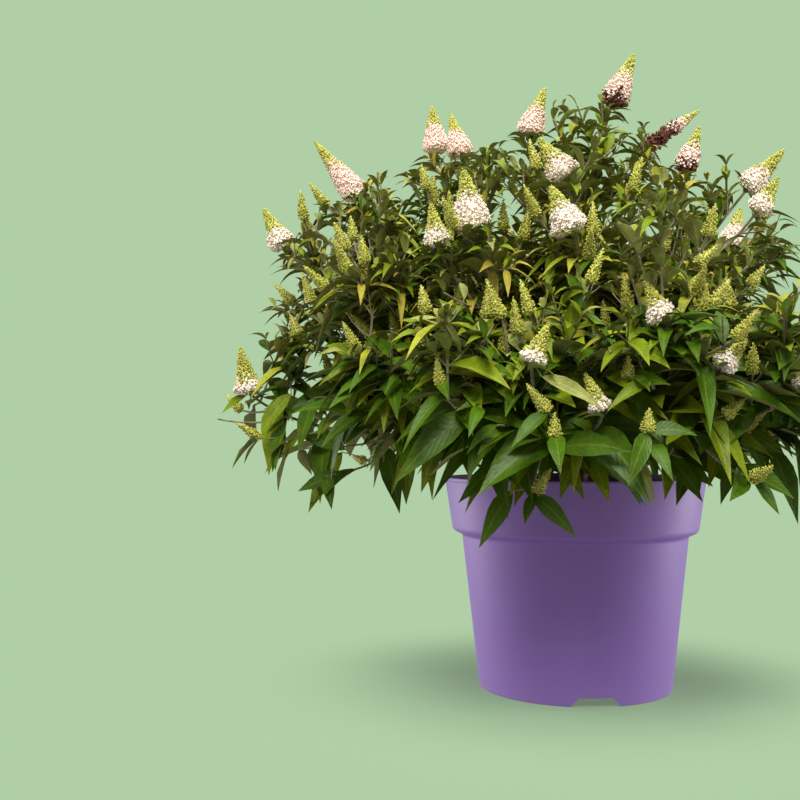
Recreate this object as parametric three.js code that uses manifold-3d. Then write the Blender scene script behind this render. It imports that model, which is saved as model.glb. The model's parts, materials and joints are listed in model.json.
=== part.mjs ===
// A compact butterfly bush in a round plastic nursery container.
//
// The bush is pruned hard every spring, so its boughs all spring from one low woody stool. Each bough
// carries one mass of foliage: a leader that ends in a large flower spike, side twigs that end in
// smaller spikes, and leaves in pairs, each pair a quarter turn round the stem from the pair before.
//
// Millimetres, +Z up. The container stands on z = 0 with its axis on Z. Bearings are in degrees,
// counter-clockwise as seen from above: 0 is right (+X), 90 is back (+Y) and 270 is front (-Y).
import * as THREE from 'three';
import { mergeVertices } from 'three/addons/utils/BufferGeometryUtils.js';
import Module from 'manifold-3d';

const wasm = await Module();
wasm.setup();

// ---------------------------------------------------------------- driving dimensions

const GAP = 0.3; // between two pieces that touch
const ROUND = 32; // sides of the container and of what fills it
const FINEST = 0.002; // corners nearer to each other than this are kept out of the foliage

const POT = {
  height: 184,
  rim: 115, // outer radii, from the rim down
  collarFoot: 108.4,
  shoulder: 99.6,
  base: 84.5,
  collarTall: 46,
  step: 4.5, // height of the slope between collar and body
  wall: 1.8,
  floorUnder: 7.5, // underside of the raised floor
  floorThick: 2,
  pad: 17, // flat centre pad, which touches the ground together with the foot ring
  padSlope: 2.5,
};
const NOTCH = { count: 3, bearing: 282, wide: 42, narrow: 28, tall: 7.4, deep: 20, below: 3 };
const DRAIN = { count: 6, radius: 5, ring: 60, sides: 6 };

const MIX = { edge: 165, middle: 168, level: 24 }; // top of the potting mix, level under the stool
const STOOL = { foot: 22, flare: 15.5, waist: 12, head: 15, crest: 7.5, tall: 37, sides: 10, heart: 0.6 };

const BOUGH = { root: 3.1, tip: 2.3, sides: 5, segments: 3, share: 0.36 }; // share of the shoot's line
const LEADER = { root: 2.2, tip: 1.3, sides: 4, segments: 3 };
const TWIG = { root: 1.5, tip: 1.1, sides: 3, segments: 1 };

// How a shoot's line runs. Low shoots leave the stool's side and arch, high ones leave its head.
const HABIT = {
  steep: 70, // rise in degrees, from which on a shoot counts as a high one
  low: { out: 8, up: -6, arch: 20 },
  high: { out: 3, up: 8, arch: 5 },
  startPull: 0.36, // how stiffly the line keeps its first and its last direction
  endPull: 0.3,
  endLean: 0.55, // how far the last direction has turned from the spike's to the shoot's own
  aim: 0.75, // the place on the line that gives the heading of the shoot's mass, seen from the stool
};

// Side twigs, by their place on the leader: the oldest reach furthest. Every third node has none.
const SIDE = {
  oldest: 104,
  youngest: 60,
  lean: 53,
  leanScatter: 7,
  reachScatter: 0.15,
  lift: 0.45,
  bareNode: 3,
  scales: [1, 0.8, 0.6],
};
const PARTNER = { roots: [0.3, 0.35, 0.4, 0.25], bend: 0.35, slack: 0.25 }; // places on the leader
const BUD = { share: 0.6, longest: 30, shortest: 20, girth: 7, tipLift: 0.5 };

// Outlines of the flower spikes, as shares of girth and length.
const SPIKE = {
  slimBelow: 9, // girth
  slim: { outline: [[0, 0], [1, 0.3], [0, 1]], sides: 4 },
  full: { outline: [[0, 0], [1, 0.2], [0.64, 0.62], [0, 1]], sides: 6 },
  rooted: 0.97, // place on its twig
};

// Leaves are larger than life, because each stands for two or three of the real ones.
const LEAF = {
  pairEvery: 20,
  twigPairEvery: 28,
  leaderStart: 0.5, // the first pair's place, in steps from one pair to the next
  twigStart: 0.85,
  low: { oldest: 96, youngest: 56, spread: 64, droop: 0.65, width: 0.48 }, // on the shoots of the skirt
  high: { oldest: 88, youngest: 50, spread: 54, droop: 0.3, width: 0.46 }, // on those of the summit
  turnScatter: 15,
  spreadScatter: 9,
  droopScatter: 0.2,
  sizeScatter: 0.15,
  sag: 0.15, // of the whole blade, on the lowest shoots
  faceStem: 0.5, // how far the upper side turns to the stem's tip, and on low shoots outwards
  faceOut: 0.6,
  widest: 0.42, // places along the blade, from 0 at its root to 1 at its tip
  keel: 0.3,
  foot: 0.14,
  thickness: 0.016, // of its length
  scales: [1, 0.8, 0.65],
};
const SPACE_MARGIN = 0.4; // a mass stays this far inside its own space

// The dome that side twigs and leaves fill, down to the level of the lowest leaf tips.
const DOME = { spread: 322, middle: 215, top: 548, skirt: 140 };
const SUMMIT_HEADING = 0.85; // how far up a heading points from which on a mass counts as the summit's

// The shoots that face the front and the left, each by the foot of its flower spike: its bearing, its
// spread from the axis and its height. tilt is the spike's lean from upright, towards its bearing
// unless toward names another. partners are further large spikes of the same mass.
const FRONT_SHOOTS = [
  { name: 'summit', bearing: 21, spread: 28, height: 517, spike: 52, girth: 16, tilt: 24, toward: 0,
    partners: [
      { bearing: 180, spread: 50, height: 486, spike: 46, girth: 13, tilt: 22, toward: 0 },
      { bearing: 32, spread: 68, height: 480, spike: 60, girth: 13, tilt: 56, toward: 0 },
    ] },
  { name: 'left_high', bearing: 181, spread: 188, height: 430, spike: 69, girth: 17, tilt: 38 },
  { name: 'left_middle', bearing: 183, spread: 254, height: 382, spike: 43, girth: 13, tilt: 28 },
  { name: 'left_low', bearing: 184, spread: 284, height: 256, spike: 44, girth: 14, tilt: 12 },
  { name: 'rear_left_high', bearing: 163, spread: 134, height: 468, spike: 46, girth: 13, tilt: 6,
    partners: [{ bearing: 150, spread: 122, height: 474, spike: 48, girth: 13, tilt: 18 }] },
  { name: 'front_left_high', bearing: 239, spread: 151, height: 378, spike: 47, girth: 16, tilt: 15,
    partners: [{ bearing: 228, spread: 182, height: 350, spike: 34, girth: 11, tilt: 12 }] },
  { name: 'front_high', bearing: 268, spread: 116, height: 418, spike: 40, girth: 14, tilt: 34,
    toward: 180,
    partners: [{ bearing: 267, spread: 150, height: 368, spike: 40, girth: 15, tilt: 24, toward: 190 }] },
  { name: 'right_high', bearing: 350, spread: 148, height: 438, spike: 44, girth: 13, tilt: 44,
    partners: [{ bearing: 340, spread: 96, height: 448, spike: 40, girth: 12, tilt: 20 }] },
  { name: 'front_right_high', bearing: 312, spread: 156, height: 376, spike: 26, girth: 8, tilt: 20 },
  { name: 'front_left_middle', bearing: 208, spread: 212, height: 352, spike: 26, girth: 8, tilt: 24 },
  { name: 'front_left', bearing: 218, spread: 232, height: 270, spike: 26, girth: 7, tilt: 30 },
  { name: 'front_left_low', bearing: 247, spread: 238, height: 256, spike: 20, girth: 6, tilt: 15 },
  { name: 'front', bearing: 268, spread: 232, height: 262, spike: 30, girth: 10, tilt: 24, toward: 0 },
  { name: 'front_right', bearing: 290, spread: 222, height: 288, spike: 30, girth: 11, tilt: 24,
    toward: 180,
    partners: [{ bearing: 300, spread: 186, height: 312, spike: 22, girth: 7, tilt: 24 }] },
  { name: 'front_right_low', bearing: 314, spread: 232, height: 250, spike: 34, girth: 10, tilt: 42,
    toward: 0 },
  { name: 'right_front_low', bearing: 338, spread: 246, height: 240, spike: 24, girth: 7, tilt: 35 },
];

// The shoots behind follow the same habit, in one ring of low shoots and one of high ones.
const REAR_RINGS = [
  { name: 'rear_low', count: 5, from: 6, to: 154, spread: 262, height: 262,
    spike: 32, girth: 9, tilt: 24 },
  { name: 'rear_high', count: 3, from: 26, to: 118, spread: 158, height: 428,
    spike: 44, girth: 13, tilt: 20 },
];
const REAR_SCATTER = { seed: 5, bearing: 5, spread: 22, height: 34 };
const FIRST_SEED = 101; // of the first mass; each later mass adds one

const FINISH = {
  plastic: { color: 0x6f5592, roughness: 0.42 },
  mix: { color: 0x2e241c, roughness: 0.95 },
  wood: { color: 0x8a7a66, roughness: 0.8 },
  foliage: { color: 0x3f6128, roughness: 0.6 },
};

// ---------------------------------------------------------------- small helpers

const UP = new THREE.Vector3(0, 0, 1);
const { clamp, degToRad, lerp, radToDeg } = THREE.MathUtils;

// A seeded stream of numbers from 0 to 1, so that the bush is the same at every build.
function numberStream(seed) {
  let state = Math.imul(seed, 2654435761) >>> 0;
  return () => {
    state = (Math.imul(state, 1664525) + 1013904223) >>> 0;
    return state / 4294967296;
  };
}

function scatter(number, size) {
  return (number() * 2 - 1) * size;
}

function outward(bearing) {
  return new THREE.Vector3(Math.cos(degToRad(bearing)), Math.sin(degToRad(bearing)), 0);
}

// The direction that makes an angle with an axis, on the side that another direction gives.
function leaning(axis, side, angle) {
  return axis.clone()
    .multiplyScalar(Math.cos(degToRad(angle)))
    .addScaledVector(side, Math.sin(degToRad(angle)));
}

// Two directions square to an axis: a level one, and the most upright one that is square to both.
function across(axis) {
  const level = new THREE.Vector3().crossVectors(UP, axis).normalize();
  return [level, new THREE.Vector3().crossVectors(axis, level).normalize()];
}

function around(axis, turn) {
  const [level, upright] = across(axis);
  return leaning(level, upright, turn);
}

// A stretch of a curve as a curve of its own.
class Stretch extends THREE.Curve {
  constructor(whole, from, to) {
    super();
    Object.assign(this, { whole, from, to });
  }

  getPoint(t, target = new THREE.Vector3()) {
    return this.whole.getPoint(lerp(this.from, this.to, t), target);
  }
}

// ---------------------------------------------------------------- solids

function solidOf(geometry) {
  const bare = geometry.clone();
  bare.deleteAttribute('normal');
  bare.deleteAttribute('uv');
  const merged = mergeVertices(bare);
  return new wasm.Manifold(new wasm.Mesh({
    numProp: 3,
    vertProperties: merged.attributes.position.array,
    triVerts: new Uint32Array(merged.index.array),
  }));
}

function geometryOf(solid) {
  const mesh = solid.simplify(FINEST).getMesh();
  const geometry = new THREE.BufferGeometry();
  geometry.setAttribute('position', new THREE.BufferAttribute(mesh.vertProperties, 3));
  geometry.setIndex(new THREE.BufferAttribute(mesh.triVerts, 1));
  return geometry;
}

function largestBody(solid) {
  return solid.decompose().reduce((best, body) => (body.volume() > best.volume() ? body : best));
}

// Whether all corners of a solid keep clear of each other, so that it stays closed when it is welded.
function isCrisp(solid) {
  const corners = solid.getMesh().vertProperties;
  for (let i = 0; i < corners.length; i += 3) {
    for (let j = i + 3; j < corners.length; j += 3) {
      const gap = Math.hypot(
        corners[i] - corners[j],
        corners[i + 1] - corners[j + 1],
        corners[i + 2] - corners[j + 2],
      );
      if (gap < FINEST) return false;
    }
  }
  return true;
}

// A turned solid from (radius, height) pairs, standing on Z.
function turned(profile, segments) {
  const points = profile.map(([radius, height]) => new THREE.Vector2(radius, height));
  return new THREE.LatheGeometry(points, segments).rotateX(Math.PI / 2);
}

// A tapering limb: a cylinder whose rings are laid square along a curve.
function limb(curve, { root, tip, sides, segments }, swell = 0) {
  const geometry = new THREE.CylinderGeometry(tip + swell, root + swell, 1, sides, segments);
  const position = geometry.attributes.position;
  for (let i = 0; i < position.count; i++) {
    const along = clamp(position.getY(i) + 0.5, 0, 1);
    const [level, upright] = across(curve.getTangent(along));
    const place = curve.getPoint(along)
      .addScaledVector(level, position.getZ(i))
      .addScaledVector(upright, position.getX(i));
    position.setXYZ(i, place.x, place.y, place.z);
  }
  return geometry;
}

// The middle of a limb, which runs straight from ring to ring.
function insideLimb(curve, along, { segments }) {
  const step = Math.min(Math.floor(along * segments), segments - 1);
  const ring = curve.getPoint(step / segments);
  return ring.lerp(curve.getPoint((step + 1) / segments), along * segments - step);
}

// ---------------------------------------------------------------- container

// Outer outline from the foot up to the rim.
function potOutline() {
  const collarLow = POT.height - POT.collarTall;
  return [
    [POT.base, 0],
    [POT.shoulder, collarLow - POT.step],
    [POT.collarFoot, collarLow],
    [POT.rim, POT.height],
  ];
}

function potWall() {
  const outer = potOutline();
  const inner = outer.slice(1).reverse().map(([radius, height]) => [radius - POT.wall, height]);
  const floorTop = POT.floorUnder + POT.floorThick;
  const foot = POT.base - POT.wall;
  const padTop = POT.pad + POT.padSlope;
  return turned([
    [0, 0], [POT.pad, 0], [padTop, POT.floorUnder], [foot, POT.floorUnder], [foot, 0],
    ...outer, ...inner,
    [foot, floorTop], [padTop + 1, floorTop], [POT.pad + 1, POT.floorThick], [0, POT.floorThick], [0, 0],
  ], ROUND);
}

// A wedge-shaped gate in the foot ring, wider at the ground, that lets water run out.
function drainNotch(bearing) {
  const flare = ((NOTCH.wide - NOTCH.narrow) / 2 / NOTCH.tall) * NOTCH.below;
  const gate = new THREE.Shape([
    new THREE.Vector2(-NOTCH.wide / 2 - flare, -NOTCH.below),
    new THREE.Vector2(NOTCH.wide / 2 + flare, -NOTCH.below),
    new THREE.Vector2(NOTCH.narrow / 2, NOTCH.tall),
    new THREE.Vector2(-NOTCH.narrow / 2, NOTCH.tall),
  ]);
  return new THREE.ExtrudeGeometry(gate, { depth: NOTCH.deep, bevelEnabled: false })
    .rotateX(Math.PI / 2)
    .translate(0, POT.base + NOTCH.deep / 2, 0)
    .rotateZ(degToRad(bearing - 90));
}

function drainHole(bearing) {
  const place = outward(bearing).multiplyScalar(DRAIN.ring);
  return new THREE.CylinderGeometry(DRAIN.radius, DRAIN.radius, POT.floorThick * 3, DRAIN.sides)
    .rotateX(Math.PI / 2)
    .translate(place.x, place.y, POT.floorUnder + POT.floorThick / 2);
}

function container() {
  let pot = solidOf(potWall());
  for (let k = 0; k < NOTCH.count; k++) {
    pot = pot.subtract(solidOf(drainNotch(NOTCH.bearing + (360 / NOTCH.count) * k)));
  }
  for (let k = 0; k < DRAIN.count; k++) {
    pot = pot.subtract(solidOf(drainHole(NOTCH.bearing + (360 / DRAIN.count) * (k + 0.5))));
  }
  return pot;
}

function pottingMix() {
  const inset = POT.wall + GAP;
  const [, shoulder, collarFoot] = potOutline();
  const floor = POT.floorUnder + POT.floorThick + GAP;
  const edge = lerp(POT.rim, POT.collarFoot, (POT.height - MIX.edge) / POT.collarTall);
  return solidOf(turned([
    [0, floor], [POT.base - inset, floor],
    ...[shoulder, collarFoot].map(([radius, height]) => [radius - inset, height]),
    [edge - inset, MIX.edge], [MIX.level, MIX.middle], [0, MIX.middle],
  ], ROUND));
}

// All the room that the filled container takes, a little swollen.
function potRoom() {
  const swell = 1;
  const outline = potOutline().map(([radius, height]) => [radius + swell, height]);
  const top = POT.height + swell;
  return solidOf(turned([[0, 0], ...outline, [POT.rim + swell, top], [0, top]], ROUND));
}

// ---------------------------------------------------------------- stool and boughs

const STOOL_FOOT = MIX.middle + GAP;
const HEART = new THREE.Vector3(0, 0, STOOL_FOOT + STOOL.tall * STOOL.heart); // where the boughs meet

// The low woody stool: a root flare, a waist and the swollen head that the boughs spring from.
function stool(swell = 0) {
  const { foot, flare, waist, head, crest, tall, sides } = STOOL;
  const profile = [
    [foot, 0],
    [flare, 0.1],
    [waist, 0.33],
    [head, 0.65],
    [head * 0.9, 0.82],
    [crest, 0.95],
  ];
  return solidOf(turned([
    [0, 0], ...profile.map(([radius, share]) => [radius + swell, share * tall]), [0, tall + swell],
  ], sides).translate(0, 0, STOOL_FOOT));
}

function spikeFoot({ bearing, spread, height }) {
  return outward(bearing).multiplyScalar(spread).setZ(height);
}

function spikeDirection({ bearing, tilt, toward = bearing }) {
  return leaning(UP, outward(toward), tilt);
}

// The line of a shoot, from inside the stool to the foot of its flower spike.
function shootLine(shoot) {
  const end = spikeFoot(shoot);
  const rise = radToDeg(Math.atan2(end.z - HEART.z, shoot.spread));
  const habit = (key) => lerp(HABIT.low[key], HABIT.high[key], clamp(rise / HABIT.steep, 0, 1));
  const side = outward(shoot.bearing);
  const start = HEART.clone().addScaledVector(side, habit('out')).addScaledVector(UP, habit('up'));
  const chord = end.clone().sub(start);
  const pull = chord.length();
  const last = spikeDirection(shoot).lerp(chord.clone().normalize(), HABIT.endLean).normalize();
  return new THREE.CubicBezierCurve3(
    start,
    start.clone().addScaledVector(leaning(side, UP, rise + habit('arch')), pull * HABIT.startPull),
    end.clone().addScaledVector(last, -pull * HABIT.endPull),
    end,
  );
}

function rearShoots() {
  const number = numberStream(REAR_SCATTER.seed);
  return REAR_RINGS.flatMap((ring) => Array.from({ length: ring.count }, (_, k) => ({
    ...ring,
    name: `${ring.name}_${k + 1}`,
    bearing: lerp(ring.from, ring.to, k / (ring.count - 1)) + scatter(number, REAR_SCATTER.bearing),
    spread: ring.spread + scatter(number, REAR_SCATTER.spread),
    height: ring.height + scatter(number, REAR_SCATTER.height),
  })));
}

const SHOOTS = [...FRONT_SHOOTS, ...rearShoots()].map((shoot) => {
  const line = shootLine(shoot);
  return { partners: [], ...shoot, line, heading: line.getPoint(HABIT.aim).sub(HEART).normalize() };
});

function bough(shoot, swell = 0) {
  return solidOf(limb(new Stretch(shoot.line, 0, BOUGH.share), BOUGH, swell));
}

// ---------------------------------------------------------------- leaves, spikes and twigs

// A leaf at a place on a stem. age runs from 0 for the oldest leaf of the stem to 1 for the youngest,
// and low from 0 for a mass at the summit to 1 for one at the skirt.
function leafAt({ root, axis, turn, age, low, number }) {
  const habit = (key) => lerp(LEAF.high[key], LEAF.low[key], low);
  const side = around(axis, turn + scatter(number, LEAF.turnScatter));
  const direction = leaning(axis, side, habit('spread') + scatter(number, LEAF.spreadScatter));
  const typical = lerp(habit('oldest'), habit('youngest'), age);
  const length = typical * (1 + scatter(number, LEAF.sizeScatter));
  const out = new THREE.Vector3(root.x, root.y, 0).normalize();
  return {
    root,
    direction: direction.addScaledVector(UP, -LEAF.sag * low).normalize(),
    facing: UP.clone().addScaledVector(axis, LEAF.faceStem).addScaledVector(out, LEAF.faceOut * low),
    length,
    width: length * habit('width'),
    droop: habit('droop') + scatter(number, LEAF.droopScatter),
  };
}

// A blade of five corners, flat above with a keel below, that sags along a parabola. It starts at its
// root, or further along for the part that has to stay clear of its neighbours.
function leafBlade({ root, direction, facing, length, width, droop }, scale, start = 0) {
  const sideways = new THREE.Vector3().crossVectors(facing, direction).normalize();
  const above = new THREE.Vector3().crossVectors(direction, sideways);
  const reach = length * scale;
  const half = (width * scale) / 2;
  const at = (s) => root.clone()
    .addScaledVector(direction, reach * s)
    .addScaledVector(UP, (-droop * reach * s * s) / 2);
  const corners = [
    at(start),
    at(LEAF.widest).addScaledVector(sideways, half),
    at(LEAF.widest).addScaledVector(sideways, -half),
    at(LEAF.keel).addScaledVector(above, -LEAF.thickness * reach),
    at(1),
  ];
  const [foot, left, right, keel, tip] = corners.keys();
  const geometry = new THREE.BufferGeometry().setFromPoints(corners);
  geometry.setIndex([
    foot, right, left, left, right, tip, // above
    foot, left, keel, foot, keel, right, keel, left, tip, keel, tip, right, // below
  ]);
  return geometry;
}

// A flower spike, blunt at its foot and drawn out to a point. A slim one has the plainer form.
function flowerSpike({ spike, girth }, root, direction) {
  const form = girth < SPIKE.slimBelow ? SPIKE.slim : SPIKE.full;
  const outline = form.outline.map(([radius, height]) => [radius * girth, height * spike]);
  return turned(outline, form.sides)
    .applyQuaternion(new THREE.Quaternion().setFromUnitVectors(UP, direction))
    .translate(root.x, root.y, root.z);
}

// A side twig leaves its stem at an angle and turns up towards the light.
function sideTwig(root, axis, turn, reach, number) {
  const start = leaning(axis, around(axis, turn), SIDE.lean + scatter(number, SIDE.leanScatter));
  const lifted = start.clone().addScaledVector(UP, SIDE.lift).normalize();
  const middle = root.clone().addScaledVector(start, reach / 2);
  const end = middle.clone().addScaledVector(lifted, reach / 2);
  return new THREE.QuadraticBezierCurve3(root, middle, end);
}

// A twig from the leader to the foot of a second large spike, bent into the spike's own direction.
function partnerTwig(root, partner) {
  const end = spikeFoot(partner);
  const reach = end.distanceTo(root);
  const bend = end.clone().addScaledVector(spikeDirection(partner), -PARTNER.bend * reach);
  return new THREE.QuadraticBezierCurve3(root, bend.lerp(root, PARTNER.slack), end);
}

// ---------------------------------------------------------------- masses of foliage

// A mass's own space is the part of the dome that lies, seen from the stool, nearest to its heading.
function insideSpace(shoot, geometry) {
  const walls = SHOOTS.filter((other) => other !== shoot)
    .map((other) => shoot.heading.clone().sub(other.heading).normalize());
  const position = geometry.attributes.position;
  const point = new THREE.Vector3();
  for (let i = 0; i < position.count; i++) {
    point.fromBufferAttribute(position, i);
    const out = Math.hypot(point.x, point.y) / DOME.spread;
    const rise = Math.max(0, (point.z - DOME.middle) / (DOME.top - DOME.middle));
    if (point.z < DOME.skirt || Math.hypot(out, rise) > 1) return false;
    point.sub(HEART);
    if (walls.some((wall) => wall.dot(point) < SPACE_MARGIN)) return false;
  }
  return true;
}

// One mass. What would leave the mass's space, touch a limb or the container, or cut through what has
// grown before it is tried smaller and then left out. A scrap that holds on nowhere is dropped.
function massOfFoliage(shoot, index, keepOut) {
  const number = numberStream(FIRST_SEED + index);
  const low = 1 - clamp(shoot.heading.z / SUMMIT_HEADING, 0, 1);
  const leader = new Stretch(shoot.line, BOUGH.share + GAP / shoot.line.getLength(), 1);
  const stems = [{ line: leader, form: LEADER, pairEvery: LEAF.pairEvery, head: shoot }];
  let grown = solidOf(limb(leader, LEADER));

  const misses = (geometry, solid) => solidOf(geometry).intersect(solid).isEmpty();
  const isFree = (geometry) => insideSpace(shoot, geometry) && misses(geometry, keepOut);
  const join = (geometry) => {
    const joined = grown.add(solidOf(geometry));
    if (!isCrisp(joined)) return false;
    grown = joined;
    return true;
  };
  const addTwig = (lines, head) => {
    const line = lines.find((candidate) => {
      const twig = limb(candidate, TWIG);
      return isFree(twig) && join(twig);
    });
    if (line) stems.push({ line, form: TWIG, pairEvery: LEAF.twigPairEvery, head });
  };
  const addLeaf = (leaf) => LEAF.scales.some((size) => {
    const blade = leafBlade(leaf, size);
    return isFree(blade) && misses(leafBlade(leaf, size, LEAF.foot), grown) && join(blade);
  });

  for (const partner of shoot.partners) {
    const roots = PARTNER.roots.map((along) => insideLimb(leader, along, LEADER));
    addTwig(roots.map((root) => partnerTwig(root, partner)), partner);
  }
  const nodes = Math.round(leader.getLength() / LEAF.pairEvery);
  const firstTurn = number() * 90;
  const twigTurns = new Set();
  for (let k = 1; k < nodes - 1; k++) {
    if (k % SIDE.bareNode === 0) continue;
    const along = (k + 0.5) / nodes;
    const turn = firstTurn + 90 * k + (number() < 0.5 ? 0 : 180);
    const reach = lerp(SIDE.oldest, SIDE.youngest, along) * (1 + scatter(number, SIDE.reachScatter));
    const vigour = number();
    const lean = number();
    const root = insideLimb(leader, along, LEADER);
    const axis = leader.getTangent(along);
    const lines = SIDE.scales.map((scale) => sideTwig(root, axis, turn, reach * scale, () => lean));
    const bud = { spike: lerp(BUD.longest, BUD.shortest, vigour), girth: BUD.girth };
    addTwig(lines, vigour < BUD.share ? bud : null);
    twigTurns.add(turn);
  }

  for (const { line, head } of stems.filter((stem) => stem.head)) {
    const isLarge = head.tilt !== undefined;
    const direction = isLarge
      ? spikeDirection(head)
      : line.getTangent(1).addScaledVector(UP, BUD.tipLift).normalize();
    const geometry = flowerSpike(head, line.getPoint(SPIKE.rooted), direction);
    if (isLarge || isFree(geometry)) join(geometry);
  }

  for (const { line, form, pairEvery } of stems) {
    const onLeader = line === leader;
    const count = onLeader ? nodes : Math.max(2, Math.round(line.getLength() / pairEvery));
    const stemTurn = onLeader ? firstTurn : number() * 90;
    for (let k = count - 1; k >= 0; k--) {
      const age = (k + (onLeader ? LEAF.leaderStart : LEAF.twigStart)) / count;
      const root = insideLimb(line, age, form);
      const axis = line.getTangent(age);
      for (const side of [0, 180]) {
        const turn = stemTurn + 90 * k + side;
        const leaf = leafAt({ root, axis, turn, age, low, number });
        if (!onLeader || !twigTurns.has(turn)) addLeaf(leaf);
      }
    }
  }
  return largestBody(grown);
}

// ---------------------------------------------------------------- the whole plant

const bush = new THREE.Group();

function addNode(name, solid, look) {
  const material = new THREE.MeshStandardMaterial({ ...look, metalness: 0, flatShading: true });
  const mesh = new THREE.Mesh(geometryOf(solid), material);
  mesh.name = name;
  bush.add(mesh);
}

addNode('pot', container(), FINISH.plastic);
addNode('potting_mix', pottingMix(), FINISH.mix);
addNode('stool', stool(), FINISH.wood);

// Each bough is cut clear of the stool and of the boughs before it, and then takes its own room.
let limbRoom = stool(GAP);
for (const shoot of SHOOTS) {
  addNode(`bough_${shoot.name}`, largestBody(bough(shoot).subtract(limbRoom)), FINISH.wood);
  limbRoom = limbRoom.add(bough(shoot, GAP));
}

const keepOut = limbRoom.add(potRoom());
SHOOTS.forEach((shoot, index) => {
  addNode(`mass_${shoot.name}`, massOfFoliage(shoot, index, keepOut), FINISH.foliage);
});

export default bush;
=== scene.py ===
# %% [markdown]
# # A butterfly bush in its violet nursery pot
#
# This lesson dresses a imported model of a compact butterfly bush. The model gives every size: a round
# plastic pot, the potting mix in it, a low woody stool, the boughs that spring from it, and a mass of
# foliage at the end of each bough. Here each of them gets its real surface.
#
# The bush is grown a second time, by the same rule that made the model, and then carried further, to
# finer twigs, leaves of their true size and flower spikes made of single flowers. Geometry Nodes makes
# what repeats: bark round a line, leaves on their seats, flowers round a spike, crumbs on the soil.

import json
import math

import bpy
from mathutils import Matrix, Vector

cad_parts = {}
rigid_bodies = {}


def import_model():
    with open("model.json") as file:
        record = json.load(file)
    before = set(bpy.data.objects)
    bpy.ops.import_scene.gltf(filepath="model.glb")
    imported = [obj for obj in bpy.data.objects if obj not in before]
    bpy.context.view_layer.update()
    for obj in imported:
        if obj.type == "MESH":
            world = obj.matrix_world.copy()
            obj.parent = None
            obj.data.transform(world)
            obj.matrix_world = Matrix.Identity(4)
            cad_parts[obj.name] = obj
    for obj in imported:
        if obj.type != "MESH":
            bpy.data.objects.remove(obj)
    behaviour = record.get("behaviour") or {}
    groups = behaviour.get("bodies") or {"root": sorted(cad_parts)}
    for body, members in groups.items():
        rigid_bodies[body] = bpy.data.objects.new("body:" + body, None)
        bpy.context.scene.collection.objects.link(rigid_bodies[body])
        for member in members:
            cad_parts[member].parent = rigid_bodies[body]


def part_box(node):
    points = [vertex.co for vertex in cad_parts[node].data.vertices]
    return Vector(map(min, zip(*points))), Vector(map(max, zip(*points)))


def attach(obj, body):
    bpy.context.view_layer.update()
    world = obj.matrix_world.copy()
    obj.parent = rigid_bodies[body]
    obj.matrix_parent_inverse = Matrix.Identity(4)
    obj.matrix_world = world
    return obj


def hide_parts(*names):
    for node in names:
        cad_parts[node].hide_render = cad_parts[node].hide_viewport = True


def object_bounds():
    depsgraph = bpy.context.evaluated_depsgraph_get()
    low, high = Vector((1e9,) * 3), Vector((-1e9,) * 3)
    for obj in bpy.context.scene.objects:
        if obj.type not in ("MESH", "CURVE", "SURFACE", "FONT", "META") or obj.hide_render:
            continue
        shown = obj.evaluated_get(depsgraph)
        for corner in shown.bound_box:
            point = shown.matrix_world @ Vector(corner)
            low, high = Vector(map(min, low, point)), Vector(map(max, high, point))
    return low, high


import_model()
cad_low, cad_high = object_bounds()
MM = 0.001
print(f"the model is {(cad_high - cad_low).z * 1000:.0f} mm tall")

# %% [markdown]
# The camera comes first, because it decides what matters. It stands a little above the height of the
# pot's rim, about a metre in front of the pot, and looks a little to the left and a little up, so the
# pot stands right of the middle of the view. A turned camera needs no lens shift. Its focal length
# follows from how many pixels a metre takes up at a distance of one metre.

# %% Place the camera
EYE = Vector((0, -0.970, 0.216))
PICTURE_SIDE = 800
FOCAL_PIXELS = 1066  # what a metre takes up at a distance of one metre
AHEAD_PIXEL = (573, 441)  # what lies straight ahead of the camera, at its own height
SENSOR_MM = 36

yaw = math.atan2(AHEAD_PIXEL[0] - PICTURE_SIDE / 2, FOCAL_PIXELS)
pitch = math.atan2(AHEAD_PIXEL[1] - PICTURE_SIDE / 2, FOCAL_PIXELS)
sight = Vector((-math.sin(yaw) * math.cos(pitch), math.cos(yaw) * math.cos(pitch), math.sin(pitch)))

camera_data = bpy.data.cameras.new("camera")
camera_data.sensor_width = SENSOR_MM
camera_data.lens = SENSOR_MM * FOCAL_PIXELS / PICTURE_SIDE
camera = bpy.data.objects.new("camera", camera_data)
camera.location = EYE
camera.rotation_euler = sight.to_track_quat("-Z", "Y").to_euler()
bpy.context.scene.collection.objects.link(camera)
bpy.context.scene.camera = camera
print(f"focal length {camera_data.lens:.1f} mm")

# %% [markdown]
# Both shaders and Geometry Nodes are trees of small sums. Linked by hand they take many lines, so a
# socket is wrapped here in a class that understands plus, minus and times. The trees below then read
# like formulas, and each formula still becomes ordinary Math nodes that can be opened in the editor.


# %% Write node trees as formulas
def add_node(tree, kind, inputs=None, **settings):
    node = tree.nodes.new(kind)
    for name, value in settings.items():
        setattr(node, name, value)
    for name, value in (inputs or {}).items():
        if isinstance(value, Field):
            tree.links.new(value.socket, node.inputs[name])
        elif isinstance(value, bpy.types.NodeSocket):
            tree.links.new(value, node.inputs[name])
        else:
            node.inputs[name].default_value = value
    return node


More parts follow.
